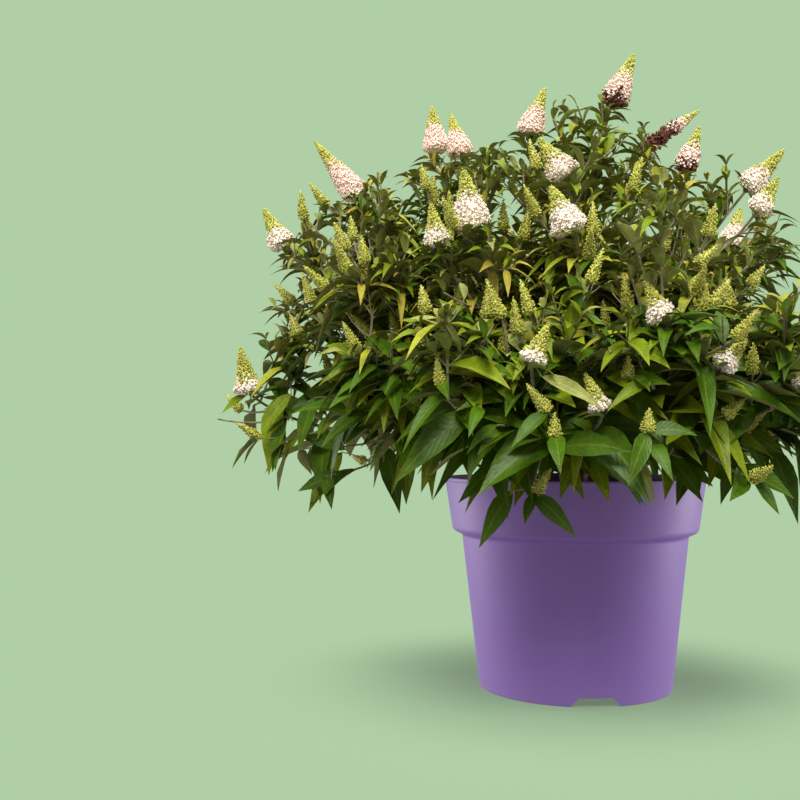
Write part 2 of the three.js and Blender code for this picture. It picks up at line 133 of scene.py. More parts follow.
class Field:
    """A socket of a node tree that takes part in sums, as a number or as a vector."""

    def __init__(self, tree, socket):
        self.tree = tree
        self.socket = socket

    def math(self, operation, *others):
        node = add_node(self.tree, "ShaderNodeMath", dict(enumerate((self, *others))), operation=operation)
        return Field(self.tree, node.outputs[0])

    def vector_math(self, operation, *others):
        inputs = dict(enumerate((self, *others)))
        node = add_node(self.tree, "ShaderNodeVectorMath", inputs, operation=operation)
        return Field(self.tree, node.outputs[0])

    def is_vector(self):
        return self.socket.type == "VECTOR"

    def join(self, operation, other):
        if self.is_vector():
            return self.vector_math(operation, other)
        return self.math(operation, other)

    def __add__(self, other):
        return self.join("ADD", other)

    def __sub__(self, other):
        return self.join("SUBTRACT", other)

    def __mul__(self, other):
        if self.is_vector():
            inputs = {0: self, "Scale": other}
            node = add_node(self.tree, "ShaderNodeVectorMath", inputs, operation="SCALE")
            return Field(self.tree, node.outputs[0])
        return self.math("MULTIPLY", other)

    def __truediv__(self, other):
        return self.math("DIVIDE", other)

    def __pow__(self, other):
        return self.math("POWER", other)

    def __radd__(self, other):
        return self + other

    def __rmul__(self, other):
        return self * other

    def __rsub__(self, other):
        return self * -1 + other

    def step(self, low, high):
        """0 up to low, 1 from high on, and smooth between them."""
        inputs = {"Value": self, "From Min": low, "From Max": high}
        node = add_node(self.tree, "ShaderNodeMapRange", inputs, interpolation_type="SMOOTHSTEP")
        return Field(self.tree, node.outputs[0])

    def parts(self):
        """The x, y and z of a vector."""
        node = add_node(self.tree, "ShaderNodeSeparateXYZ", {0: self})
        return [Field(self.tree, socket) for socket in node.outputs]


def vector_of(tree, x, y, z):
    node = add_node(tree, "ShaderNodeCombineXYZ", {0: x, 1: y, 2: z})
    return Field(tree, node.outputs[0])


print("formulas are ready")

# %% [markdown]
# A finish starts as a Principled shader with a plain colour. Patterns are then worked out from Object
# coordinates, which are metres in the model's own frame, or from an attribute of the piece. Values
# that are the same all over a surface are set on the shader's own sockets.


# %% Make finishes
def linear(red, green, blue):
    """A screen colour, 0 to 255, as the linear colour that shaders use."""
    shares = [value / 255 for value in (red, green, blue)]
    return (*(s / 12.92 if s <= 0.04045 else ((s + 0.055) / 1.055) ** 2.4 for s in shares), 1)


def shade(color, factor):
    return (*(value * factor for value in color[:3]), 1)


def new_finish(name, color, roughness, **values):
    material = bpy.data.materials.new(name)
    material.use_nodes = True
    shader = material.node_tree.nodes["Principled BSDF"]
    settings = {"Base Color": color, "Roughness": roughness}
    settings.update({label.replace("_", " "): value for label, value in values.items()})
    for label, value in settings.items():
        shader.inputs[label].default_value = value
    return material


def object_place(tree):
    return Field(tree, add_node(tree, "ShaderNodeTexCoord").outputs["Object"])


def attribute(tree, name, output="Vector"):
    node = add_node(tree, "ShaderNodeAttribute", attribute_name=name)
    return Field(tree, node.outputs[output])


def noise(tree, place, scale, detail=2.0, roughness=0.5):
    inputs = {"Vector": place, "Scale": scale, "Detail": detail, "Roughness": roughness}
    return Field(tree, add_node(tree, "ShaderNodeTexNoise", inputs).outputs[0])


def mixed(tree, factor, first, second):
    """One colour where the factor is 0 and the other where it is 1."""
    node = add_node(tree, "ShaderNodeMix", {"Factor": factor}, data_type="RGBA")
    for index, value in ((6, first), (7, second)):
        if isinstance(value, Field):
            tree.links.new(value.socket, node.inputs[index])
        else:
            node.inputs[index].default_value = value
    return Field(tree, node.outputs[2])


def paint(material, color=None, height=None, depth=0.001, roughness=None):
    """Links a worked-out colour, relief and roughness to a finish's shader. depth is in metres."""
    tree = material.node_tree
    shader = tree.nodes["Principled BSDF"]
    if color is not None:
        tree.links.new(color.socket, shader.inputs["Base Color"])
    if roughness is not None:
        tree.links.new(roughness.socket, shader.inputs["Roughness"])
    if height is not None:
        bump = add_node(tree, "ShaderNodeBump", {"Height": height, "Distance": depth})
        tree.links.new(bump.outputs[0], shader.inputs["Normal"])


print("finishes are ready")

# %% [markdown]
# A Geometry Nodes tree is built once and used on many meshes. The helper below gives it named inputs.
# Another runs it on a mesh: it sets each input by the identifier of its socket, evaluates the object
# once, keeps the result as a plain mesh and throws the source away, so that no modifier is left.

# %% Make and run Geometry Nodes trees
SOCKETS = {
    float: "NodeSocketFloat",
    int: "NodeSocketInt",
    "finish": "NodeSocketMaterial",
    "shape": "NodeSocketObject",
}
scene_objects = bpy.context.scene.collection.objects


def new_tree(name, **named_inputs):
    """A tree with the given inputs. Returns it, its inputs as fields and a function that ends it."""
    tree = bpy.data.node_groups.new(name, "GeometryNodeTree")
    tree.interface.new_socket("Geometry", in_out="INPUT", socket_type="NodeSocketGeometry")
    tree.interface.new_socket("Geometry", in_out="OUTPUT", socket_type="NodeSocketGeometry")
    for label, value in named_inputs.items():
        kind = SOCKETS[value if isinstance(value, str) else type(value)]
        socket = tree.interface.new_socket(label.replace("_", " "), in_out="INPUT", socket_type=kind)
        if not isinstance(value, str):
            socket.default_value = value
    given = {socket.name: Field(tree, socket) for socket in add_node(tree, "NodeGroupInput").outputs}

    def finish_tree(geometry):
        add_node(tree, "NodeGroupOutput", {0: geometry})

    return tree, given, finish_tree


def geometry_node(tree, kind, inputs, output=0, **settings):
    return Field(tree, add_node(tree, kind, inputs, **settings).outputs[output])


def named(tree, name, data_type="FLOAT"):
    node = add_node(tree, "GeometryNodeInputNamedAttribute", {"Name": name}, data_type=data_type)
    return Field(tree, node.outputs["Attribute"])


def joined(tree, *parts):
    node = add_node(tree, "GeometryNodeJoinGeometry")
    for part in parts:
        tree.links.new(part.socket, node.inputs[0])
    return Field(tree, node.outputs[0])


def grown(name, tree, source, **inputs):
    """The mesh that a tree makes from a source mesh."""
    carrier = bpy.data.objects.new(name, source)
    scene_objects.link(carrier)
    modifier = carrier.modifiers.new("grow", "NODES")
    modifier.node_group = tree
    for item in tree.interface.items_tree:
        label = item.name.replace(" ", "_")
        if item.in_out == "INPUT" and label in inputs:
            modifier[item.identifier] = inputs[label]
    depsgraph = bpy.context.evaluated_depsgraph_get()
    mesh = bpy.data.meshes.new_from_object(
        carrier.evaluated_get(depsgraph), preserve_all_data_layers=True, depsgraph=depsgraph
    )
    bpy.data.objects.remove(carrier)
    return mesh


def triangles(mesh):
    mesh.calc_loop_triangles()
    return len(mesh.loop_triangles)


def place_piece(name, mesh, slot, *nodes):
    """Puts a finished mesh in the scene, in the place of the model's nodes."""
    piece = bpy.data.objects.new(name, mesh)
    scene_objects.link(piece)
    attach(piece, "root")
    if nodes:
        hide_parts(*nodes)
    print(f"{name}: {triangles(mesh)} triangles")
    return piece


print("tree helpers are ready")

# %% [markdown]
# The pot is blow-moulded from thin plastic: a tapered body, a wide collar that steps out over it and
# leans outwards to the rim, a foot ring with three drainage gates, and a raised floor with a flat pad
# in its middle. A lathe profile gives all of that. Its corners are softened along short curves,
# because no moulded edge is sharp, and the gates are cut with a Boolean afterwards.

# %% Turn a soft-cornered profile
POT_SIDES = 192
CORNER_STEPS = 5


def softened(corners):
    """A profile of (radius, height) points. Each corner also gives how far its curve reaches."""
    points = []
    for k, (radius, height, soft) in enumerate(corners):
        corner = Vector((radius, height))
        if not soft or k in (0, len(corners) - 1):
            points.append(corner)
            continue
        before = Vector(corners[k - 1][:2]) - corner
        after = Vector(corners[k + 1][:2]) - corner
        first = corner + before.normalized() * min(soft, before.length / 2)
        last = corner + after.normalized() * min(soft, after.length / 2)
        for step in range(CORNER_STEPS + 1):
            t = step / CORNER_STEPS
            points.append(first.lerp(corner, t).lerp(corner.lerp(last, t), t))
    return points


def turned_mesh(name, profile, sides):
    """A closed solid from a profile in millimetres that starts and ends on the axis."""
    vertices = []
    rings = []
    for radius, height in profile:
        count = sides if radius > 0 else 1
        rings.append(range(len(vertices), len(vertices) + count))
        for k in range(count):
            angle = 2 * math.pi * k / sides
            vertices.append((radius * math.cos(angle) * MM, radius * math.sin(angle) * MM, height * MM))
    faces = []
    for lower, upper in zip(rings, rings[1:]):
        for k in range(sides):
            face = [lower[k % len(lower)], lower[(k + 1) % len(lower)]]
            face += [upper[(k + 1) % len(upper)], upper[k % len(upper)]]
            faces.append(list(dict.fromkeys(face)))
    mesh = bpy.data.meshes.new(name)
    mesh.from_pydata(vertices, [], faces)
    return mesh


print("the lathe is ready")

# %% [markdown]
# The rim and the height are measured on the model. The other sizes are the model's own too, in
# millimetres, and they are how such pots are moulded: the collar is a quarter of the height, the wall
# is under two millimetres thick, and the floor is raised so that water can run out below it.

# %% Measure and shape the pot
POT_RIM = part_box("pot")[1].x / MM
POT_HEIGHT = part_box("pot")[1].z / MM
COLLAR_TALL = 46
COLLAR_FOOT = 108.4
SHOULDER = 99.6
STEP = 4.5  # height of the slope between the body and the collar
POT_BASE = 84.5
FOOT_SLOPE = 4  # how far the foot ring slopes in, up to the raised floor
WALL = 1.8
LIP = 0.4  # how much thicker the wall is at the rim and the foot
FLOOR = (7.5, 9.5)  # underside and top of the raised floor
PAD = 17
PAD_SLOPE = 2.5
PAD_TOP = 2
RIM_BEAD = 0.5

collar_low = POT_HEIGHT - COLLAR_TALL
pot_profile = softened([
    # radius, height, and how far the curve at the corner reaches
    (0, 0, 0),
    (PAD, 0, 1),
    (PAD + PAD_SLOPE, FLOOR[0], 1.5),
    (POT_BASE - FOOT_SLOPE, FLOOR[0], 2),
    (POT_BASE - WALL - LIP, 0, 0.4),
    (POT_BASE, 0, 0.7),
    (SHOULDER, collar_low - STEP, 2.2),
    (COLLAR_FOOT - 1.2, collar_low - 1.2, 1.4),
    (COLLAR_FOOT, collar_low + 1.5, 1.2),
    (POT_RIM - RIM_BEAD, POT_HEIGHT - 3.5, 0.8),
    (POT_RIM, POT_HEIGHT - 2.2, 0.6),
    (POT_RIM - 0.2, POT_HEIGHT, 0.7),
    (POT_RIM - WALL - LIP, POT_HEIGHT, 0.7),
    (COLLAR_FOOT - WALL, collar_low + 1, 1.2),
    (SHOULDER - WALL, collar_low - STEP, 1.5),
    (POT_BASE - WALL, FLOOR[1], 1.5),
    (PAD + 4, FLOOR[1], 1),
    (PAD + 1, PAD_TOP, 1),
    (0, PAD_TOP, 0),
])
pot_mesh = turned_mesh("pot_shell", pot_profile, POT_SIDES)
print(f"the pot has {len(pot_profile)} rings")

# %% [markdown]
# Three gates at the foot, wider at the ground, let water run off a flat floor. Six holes in the raised
# floor drain the mix. Each cutter is a small closed mesh, and all of them are cut out at once. The
# faces are then smooth, but every edge that turns by more than a few tens of degrees stays crisp.

# %% Shape the cutters of the gates and the drainage holes
import bmesh
from mathutils import Matrix

GATES = 3
FRONT_GATE = 282  # bearing in degrees, seen from above
GATE_WIDE = 42
GATE_NARROW = 28
GATE_TALL = 7.4
GATE_DEPTH = 20
BELOW = 3  # how far a gate's cutter reaches below the ground
HOLES = 6
HOLE_RADIUS = 5
HOLE_RING = 60
HOLE_SIDES = 20
CUT_THROUGH = 2  # how far a hole's cutter stands out on both sides of the floor


def gate_cutter(bearing):
    flare = (GATE_WIDE - GATE_NARROW) / 2 / GATE_TALL * BELOW
    outline = [
        (-GATE_WIDE / 2 - flare, -BELOW),
        (GATE_WIDE / 2 + flare, -BELOW),
        (GATE_NARROW / 2, GATE_TALL),
        (-GATE_NARROW / 2, GATE_TALL),
    ]
    turn = Matrix.Rotation(math.radians(bearing - 90), 3, "Z")
    corners = []
    for side in (-1, 1):
        corners += [turn @ Vector((x, POT_BASE + side * GATE_DEPTH / 2, z)) * MM for x, z in outline]
    faces = [(0, 1, 2, 3), (7, 6, 5, 4)] + [(k, k + 4, (k + 1) % 4 + 4, (k + 1) % 4) for k in range(4)]
    return corners, faces


def hole_cutter(bearing):
    middle = Vector((math.cos(math.radians(bearing)), math.sin(math.radians(bearing)), 0)) * HOLE_RING
    corners = []
    for height in (FLOOR[0] - CUT_THROUGH, FLOOR[1] + CUT_THROUGH):
        for k in range(HOLE_SIDES):
            angle = 2 * math.pi * k / HOLE_SIDES
            rim = Vector((math.cos(angle), math.sin(angle), 0)) * HOLE_RADIUS
            corners.append((middle + rim + Vector((0, 0, height))) * MM)
    faces = [tuple(reversed(range(HOLE_SIDES))), tuple(range(HOLE_SIDES, 2 * HOLE_SIDES))]
    for k in range(HOLE_SIDES):
        after = (k + 1) % HOLE_SIDES
        faces.append((k, after, after + HOLE_SIDES, k + HOLE_SIDES))
    return corners, faces


def outward_faces(mesh):
    shape = bmesh.new()
    shape.from_mesh(mesh)
    bmesh.ops.recalc_face_normals(shape, faces=shape.faces)
    shape.to_mesh(mesh)
    shape.free()


cutters = [gate_cutter(FRONT_GATE + 360 / GATES * k) for k in range(GATES)]
cutters += [hole_cutter(FRONT_GATE + 360 / HOLES * (k + 0.5)) for k in range(HOLES)]
print(f"{len(cutters)} cutters")

# %% Cut the gates and the holes
CRISP_ANGLE = math.radians(35)

corners = []
faces = []
for cutter_corners, cutter_faces in cutters:
    faces += [tuple(index + len(corners) for index in face) for face in cutter_faces]
    corners += cutter_corners
cutter_mesh = bpy.data.meshes.new("gates_and_holes")
cutter_mesh.from_pydata(corners, [], faces)
outward_faces(cutter_mesh)
outward_faces(pot_mesh)

pot_carrier = bpy.data.objects.new("pot_carrier", pot_mesh)
cutter = bpy.data.objects.new("gates_and_holes", cutter_mesh)
scene_objects.link(pot_carrier)
scene_objects.link(cutter)
cut = pot_carrier.modifiers.new("cut", "BOOLEAN")
cut.object = cutter
cut.operation = "DIFFERENCE"
cut.solver = "EXACT"
depsgraph = bpy.context.evaluated_depsgraph_get()
pot_mesh = bpy.data.meshes.new_from_object(pot_carrier.evaluated_get(depsgraph))
bpy.data.objects.remove(pot_carrier)
bpy.data.objects.remove(cutter)
pot_mesh.shade_smooth()
pot_mesh.set_sharp_from_angle(angle=CRISP_ANGLE)
print(f"the pot has {GATES} gates and {HOLES} holes")

# %% [markdown]
# The plastic is dyed through, a bluish violet with a satin skin. Moulding leaves it slightly uneven:
# broad, barely visible clouds in the colour, a fine pebble in the gloss, and faint upright flow lines.
# Handling in the nursery adds a little dust to the lowest centimetres.

# %% Finish and place the pot
VIOLET = linear(140, 106, 180)
violet_plastic = new_finish("violet_plastic", VIOLET, 0.42, Specular_IOR_Level=0.45)
tree = violet_plastic.node_tree
place = object_place(tree)
x, y, z = place.parts()
clouds = noise(tree, place, 14, 3)
flow_lines = noise(tree, vector_of(tree, x, y, z * 0.06), 260, 2)
pebble = noise(tree, place, 1500, 2)
dust = (z * -1).step(-0.022, 0.0) * noise(tree, place, 90, 4)
color = mixed(tree, clouds.step(0.35, 0.65) * 0.35, VIOLET, shade(VIOLET, 0.92))
color = mixed(tree, dust * 0.12, color, linear(150, 138, 140))
paint(
    violet_plastic,
    color,
    height=pebble * 0.25 + flow_lines * 0.6 + clouds * 2,
    depth=0.00012,
    roughness=clouds.step(0.3, 0.7) * 0.05 + pebble * 0.06 + 0.46,
)
pot_mesh.materials.clear()
pot_mesh.materials.append(violet_plastic)
place_piece("nursery_pot", pot_mesh, "pot_plastic", "pot")

# %% [markdown]
# The potting mix is peat and bark in crumbs of a few millimetres. Its body is a turned solid that ends
# a finger below the rim. Its top is slightly domed, and a few crossing waves make it uneven.

# %% Shape the body of the mix
MIX_EDGE = 165
MIX_MIDDLE = 168
CLEARANCE = 0.3  # between two solids that touch
MIX_SLACK = 0.5  # how much more room the mix has at its edge
MIX_RINGS = 26
MIX_SIDES = 96
MIX_UNEVEN = 1.6


def mix_top(radius, limit):
    """A slightly domed top from the edge in to the stool."""
    return MIX_EDGE + (MIX_MIDDLE - MIX_EDGE) * (1 - (radius / limit) ** 2)


def uneven(x, y):
    waves = ((61, 13, 0.4), (-37, 74, 1.9), (118, -96, 3.1), (190, 171, 0.7))
    return sum(math.sin(x * a + y * b + c) for a, b, c in waves) / len(waves)


inset = WALL + CLEARANCE
mix_limit = COLLAR_FOOT + (POT_RIM - COLLAR_FOOT) * (MIX_EDGE - collar_low) / COLLAR_TALL
mix_limit = mix_limit - inset - MIX_SLACK
mix_profile = [
    (0, FLOOR[1] + CLEARANCE),
    (POT_BASE - inset, FLOOR[1] + CLEARANCE),
    (SHOULDER - inset, collar_low - STEP),
    (COLLAR_FOOT - inset, collar_low + 1),
]
for k in range(MIX_RINGS, -1, -1):
    radius = mix_limit * k / MIX_RINGS
    mix_profile.append((radius, mix_top(radius, mix_limit)))
mix_mesh = turned_mesh("mix_body", mix_profile, MIX_SIDES)
for vertex in mix_mesh.vertices:
    if vertex.co.z > (MIX_EDGE - 1) * MM:
        vertex.co.z += (uneven(vertex.co.x, vertex.co.y) * MIX_UNEVEN - MIX_UNEVEN) * MM
outward_faces(mix_mesh)
print(f"the mix reaches {mix_limit:.0f} mm from the axis")

# %% [markdown]
# Geometry Nodes strews crumbs of many sizes over the top. Points are dealt out by area, each gets a
# small rough stone with its own size and turn, and the instances are made real.

# %% Strew crumbs over the mix
FULL_TURN = 6.28
dark_mix = new_finish("dark_mix", linear(48, 37, 28), 0.95)
tree = dark_mix.node_tree
place = object_place(tree)
grain = noise(tree, place, 420, 4, 0.65)
color = mixed(tree, grain.step(0.35, 0.7), linear(28, 21, 15), linear(74, 57, 42))
paint(dark_mix, color, height=grain, depth=0.0012)


def random_vector(tree, low, high):
    inputs = {0: low, 1: high}
    return geometry_node(tree, "FunctionNodeRandomValue", inputs, data_type="FLOAT_VECTOR")


tree, given, finish_tree = new_tree(
    "strewn crumbs",
    Density=26000.0,
    Smallest=0.0007,
    Largest=0.0024,
    Level=0.16,
    Seed=4,
    Finish="finish",
)
height = geometry_node(tree, "GeometryNodeInputPosition", {}).parts()[2]
facing = geometry_node(tree, "GeometryNodeInputNormal", {}).parts()[2]
on_top = height.math("GREATER_THAN", given["Level"]) * facing.math("GREATER_THAN", 0.3)
inputs = {"Mesh": given["Geometry"], "Selection": on_top}
inputs |= {"Density": given["Density"], "Seed": given["Seed"]}
points = geometry_node(tree, "GeometryNodeDistributePointsOnFaces", inputs)
stone = geometry_node(tree, "GeometryNodeMeshIcoSphere", {"Radius": 1.0, "Subdivisions": 1})
inputs = {2: given["Smallest"], 3: given["Largest"], "Seed": given["Seed"]}
size = geometry_node(tree, "FunctionNodeRandomValue", inputs, output=1, data_type="FLOAT")
squeeze = random_vector(tree, (0.6, 0.5, 0.4), (1.3, 1.1, 0.9))
turn = random_vector(tree, (0, 0, 0), (FULL_TURN, FULL_TURN, FULL_TURN))
inputs = {"Points": points, "Instance": stone, "Rotation": turn, "Scale": squeeze * size}
crumbs = geometry_node(tree, "GeometryNodeInstanceOnPoints", inputs)
real = geometry_node(tree, "GeometryNodeRealizeInstances", {0: crumbs})
inputs = {"Geometry": joined(tree, given["Geometry"], real), "Material": given["Finish"]}
finish_tree(geometry_node(tree, "GeometryNodeSetMaterial", inputs))
mix_mesh = grown("mix", tree, mix_mesh, Finish=dark_mix)
place_piece("potting_mix_crumbs", mix_mesh, "potting_mix", "potting_mix")

# %% [markdown]
# Now the bush itself. It is pruned hard in spring, so every shoot springs from a low stool. A shoot is
# told by the foot of its flower spike: its bearing, its spread from the pot's axis and its height, in
# degrees and millimetres. This list is the model's own, with one thing added, how far each spike has
# flowered. Spikes open from the foot upwards, so a young one is all buds and an old one is brown below.

# %% List the shoots that face the front and the left
BUDS, FIRST, HALF, FULL, FADING, SPENT = "buds", "first", "half", "full", "fading", "spent"
FRONT_SHOOTS = [
    # name, bearing, spread, height, spike, girth, tilt, the bearing that the tilt is towards, flowering
    ("summit", 21, 28, 517, 52, 16, 24, 0, FADING),
    ("left_high", 181, 188, 430, 69, 17, 38, 181, FULL),
    ("left_middle", 183, 254, 382, 43, 13, 28, 183, HALF),
    ("left_low", 184, 284, 256, 44, 14, 12, 184, FIRST),
    ("rear_left_high", 163, 134, 468, 46, 13, 6, 163, FULL),
    ("front_left_high", 239, 151, 378, 47, 16, 15, 239, FULL),
    ("front_high", 268, 116, 418, 40, 14, 34, 180, HALF),
    ("right_high", 350, 148, 438, 44, 13, 44, 350, HALF),
    ("front_right_high", 312, 156, 376, 26, 8, 20, 312, BUDS),
    ("front_left_middle", 208, 212, 352, 26, 8, 24, 208, BUDS),
    ("front_left", 218, 232, 270, 26, 7, 30, 218, BUDS),
    ("front_left_low", 247, 238, 256, 20, 6, 15, 247, BUDS),
    ("front", 268, 232, 262, 30, 10, 24, 0, FIRST),
    ("front_right", 290, 222, 288, 30, 11, 24, 180, HALF),
    ("front_right_low", 314, 232, 250, 34, 10, 42, 0, HALF),
    ("right_front_low", 338, 246, 240, 24, 7, 35, 338, BUDS),
]
print(f"{len(FRONT_SHOOTS)} shoots face the front and the left")

# %% [markdown]
# The large spikes stand a little off the ends of the model's masses, and two of them are slimmer than
# the model's round forms. The rest of each mass stays where it is, so only the last stretch of a
# shoot's line bends to its spike.

# %% Move and slim some of the spikes
SLIMMER = {"left_high": 0.76, "summit": 0.9}
SPIKE_SHIFTS = {
    # how far a spike stands off the end of its mass, to the right and up
    "summit": (10, 4),
    "left_high": (-8, 13),
    "left_middle": (-11, 14),
    "left_low": (-12, 4),
    "rear_left_high": (0, 26),
    "front_left_high": (0, 7),
    "front_high": (0, 8),
    "right_high": (3, -6),
    "front_left_middle": (0, 24),
    "front_left": (14, 18),
    "front": (-20, 8),
    "front_right": (-13, 12),
}
print(f"{len(SPIKE_SHIFTS)} spikes stand off their masses")

# %% [markdown]
# Some shoots fork below their end and carry further large spikes. The many small spikes in bud mostly
# grow by rule, but the ones that show plainly from the front have places of their own. Behind, where
# nothing is as distinct, two rings of shoots follow the habit of the front ones.

# %% List the further spikes and the shoots behind
PARTNERS = [
    # the shoot that carries it, then as above
    ("summit", 180, 39, 495, 46, 13, 20, 0, FULL),
    ("summit", 27, 79, 490, 56, 10.5, 56, 0, SPENT),
    ("rear_left_high", 150, 123, 495, 46, 13, 16, 150, FULL),
    ("front_left_high", 232, 171, 371, 34, 11, 12, 228, HALF),
    ("front_high", 270, 150, 375, 40, 15, 24, 190, FULL),
    ("right_high", 341, 101, 447, 40, 12, 20, 340, FADING),
    ("right_high", 335, 165, 403, 32, 11, 32, 350, HALF),
    ("front_right", 300, 186, 312, 22, 7, 24, 300, BUDS),
    ("front", 275, 226, 237, 28, 9, 24, 180, FIRST),
    ("front_right_low", 297, 225, 266, 28, 10, 40, 0, HALF),
]
FRONT_BUDS = [
    # bearing, spread, height, spike, tilt, the bearing that the tilt is towards
    (261, 192, 308, 28, 16, 180),
    (255, 197, 306, 32, 22, 180),
    (237, 202, 314, 22, 10, 180),
    (280, 218, 259, 17, 5, 280),
    (282, 240, 222, 17, 10, 282),
    (299, 218, 234, 19, 50, 0),
    (267, 235, 219, 17, 5, 267),
    (266, 236, 236, 25, 38, 180),
    (276, 151, 374, 25, 5, 276),
    (298, 102, 419, 30, 18, 0),
    (300, 138, 365, 21, 24, 0),
    (306, 161, 351, 22, 46, 0),
    (304, 182, 316, 26, 35, 0),
    (321, 176, 337, 20, 36, 0),
    (216, 206, 361, 24, 8, 180),
    (206, 138, 434, 24, 12, 180),
    (195, 234, 337, 30, 18, 180),
    (189, 247, 311, 22, 22, 180),
    (261, 177, 178, 22, 33, 0),
]
REAR_RINGS = [
    # name, count, first and last bearing, then as above
    ("rear_low", 5, 6, 154, 262, 262, 32, 9, 24, (FIRST, HALF, BUDS, HALF, BUDS)),
    ("rear_high", 3, 26, 118, 158, 428, 44, 13, 20, (FULL, FADING, FULL)),
]
REAR_SEED = 5
REAR_SCATTER = {"bearing": 5, "spread": 22, "height": 34}
print(f"{len(PARTNERS)} further large spikes, {len(FRONT_BUDS)} small ones in front")

# %% [markdown]
# The rule needs a stream of numbers that is the same at every run, and a few directions. The stream is
# a classic one: each number comes from the one before by a product and a sum. A direction that leans
# from an axis towards a side is used everywhere, so it has a function of its own.


# %% Draw numbers and directions
WORD = 2**32
SEED_FACTOR = 2654435761
FACTOR = 1664525
ADDEND = 1013904223


def number_stream(seed):
    state = (seed * SEED_FACTOR) % WORD

    def draw():
        nonlocal state
        state = (state * FACTOR + ADDEND) % WORD
        return state / WORD

    return draw


def scatter(draw, size):
    return (draw() * 2 - 1) * size


def mix(first, second, share):
    return first + (second - first) * share


UP = Vector((0, 0, 1))


def outward(bearing):
    return Vector((math.cos(math.radians(bearing)), math.sin(math.radians(bearing)), 0))


def leaning(axis, side, angle):
    return axis * math.cos(math.radians(angle)) + side * math.sin(math.radians(angle))


def around(axis, turn):
    level = UP.cross(axis).normalized()
    return leaning(level, axis.cross(level).normalized(), turn)


def point_on(controls, share):
    """A point on a Bezier curve of any degree, by repeated mixing."""
    while len(controls) > 1:
        controls = [a.lerp(b, share) for a, b in zip(controls, controls[1:])]
    return controls[0]


def direction_on(controls, share):
    return (point_on(controls[1:], share) - point_on(controls[:-1], share)).normalized()


def curve_length(controls, start, steps):
    shares = [mix(start, 1, k / steps) for k in range(steps + 1)]
    return sum((point_on(controls, b) - point_on(controls, a)).length for a, b in zip(shares, shares[1:]))


print("numbers and directions are ready")

# %% [markdown]
# Each shoot runs on one curve from inside the stool to the foot of its spike. Low shoots leave the
# stool's side and arch over the rim, high ones leave its head and run up. The first third or so is the
# bough, with bark on it, and the rest is this year's leader.

# %% Lay the lines of the shoots
STOOL_FOOT = MIX_MIDDLE + CLEARANCE
STOOL_TALL = 37
HEART = Vector((0, 0, STOOL_FOOT + STOOL_TALL * 0.6))  # where all shoots spring from
STEEP = 70  # rise in degrees, from which on a shoot counts as a high one
LOW_START = {"out": 8, "up": -6, "arch": 20}
HIGH_START = {"out": 3, "up": 8, "arch": 5}
START_PULL = 0.36  # how stiffly a line keeps its first and its last direction
END_PULL = 0.3
END_LEAN = 0.55  # how far the last direction has turned from the spike's to the shoot's own
SHIFT_SHARE = 0.3  # how much of a spike's shift the line takes up before its end
BOUGH_SHARE = 0.36
HEADING_AT = 0.75  # the place on a line that gives the heading of its mass


def shoot_line(bearing, spread, height, tilt, toward):
    side = outward(bearing)
    end = side * spread + UP * height
    rise = math.degrees(math.atan2(height - HEART.z, spread))
    steepness = min(max(rise / STEEP, 0), 1)
    out, up, arch = (mix(LOW_START[key], HIGH_START[key], steepness) for key in ("out", "up", "arch"))
    start = HEART + side * out + UP * up
    chord = end - start
    last = leaning(UP, outward(toward), tilt).lerp(chord.normalized(), END_LEAN).normalized()
    first = leaning(side, UP, rise + arch)
    return [start, start + first * chord.length * START_PULL, end - last * chord.length * END_PULL, end]


spikes = []  # (foot, direction, length, girth, flowering)
shoots = []  # (name, line)
for name, bearing, spread, height, spike, girth, tilt, toward, flowering in FRONT_SHOOTS:
    shoots.append((name, shoot_line(bearing, spread, height, tilt, toward)))
    right, up = SPIKE_SHIFTS.get(name, (0, 0))
    foot = shoots[-1][1][-1] + Vector((right, 0, up))
    girth *= SLIMMER.get(name, 1)
    spikes.append((foot, leaning(UP, outward(toward), tilt), spike, girth, flowering))
draw = number_stream(REAR_SEED)
for name, count, first, last, spread, height, spike, girth, tilt, flowering in REAR_RINGS:
    for k in range(count):
        bearing = mix(first, last, k / (count - 1)) + scatter(draw, REAR_SCATTER["bearing"])
        out = spread + scatter(draw, REAR_SCATTER["spread"])
        up = height + scatter(draw, REAR_SCATTER["height"])
        line = shoot_line(bearing, out, up, tilt, bearing)
        shoots.append((f"{name}_{k + 1}", line))
        spikes.append((line[-1], leaning(UP, outward(bearing), tilt), spike, girth, flowering[k]))
headings = [(point_on(line, HEADING_AT) - HEART).normalized() for name, line in shoots]
for (name, line), spike in zip(shoots, spikes):
    shift = spike[0] - line[3]
    line[2] += shift * SHIFT_SHARE
    line[3] += shift
print(f"{len(shoots)} shoots")

# %% [markdown]
# The crown is a dome, and each mass has its own space in it: the part that lies nearest to its own
# shoot as seen from the stool. A low cone roofs the dome. Below the roof everything may grow, and only
# what surrounds a large spike tops it, so the large spikes stand clear of the leaves.

# %% Bound the crown
DOME = {"spread": 322, "middle": 215, "top": 548, "skirt": 140}
ROOF = {"top": 534, "slope": 0.48, "tilt": 0.06}
SPACE_MARGIN = 0.4
REACH_MARGIN = 5


def in_dome(point):
    out = math.hypot(point.x, point.y) / DOME["spread"]
    rise = max(0, (point.z - DOME["middle"]) / (DOME["top"] - DOME["middle"]))
    return point.z > DOME["skirt"] and math.hypot(out, rise) < 1


def under_roof(point):
    """Below a low cone that falls a little to the right."""
    return point.z < ROOF["top"] - ROOF["slope"] * math.hypot(point.x, point.y) - ROOF["tilt"] * point.x


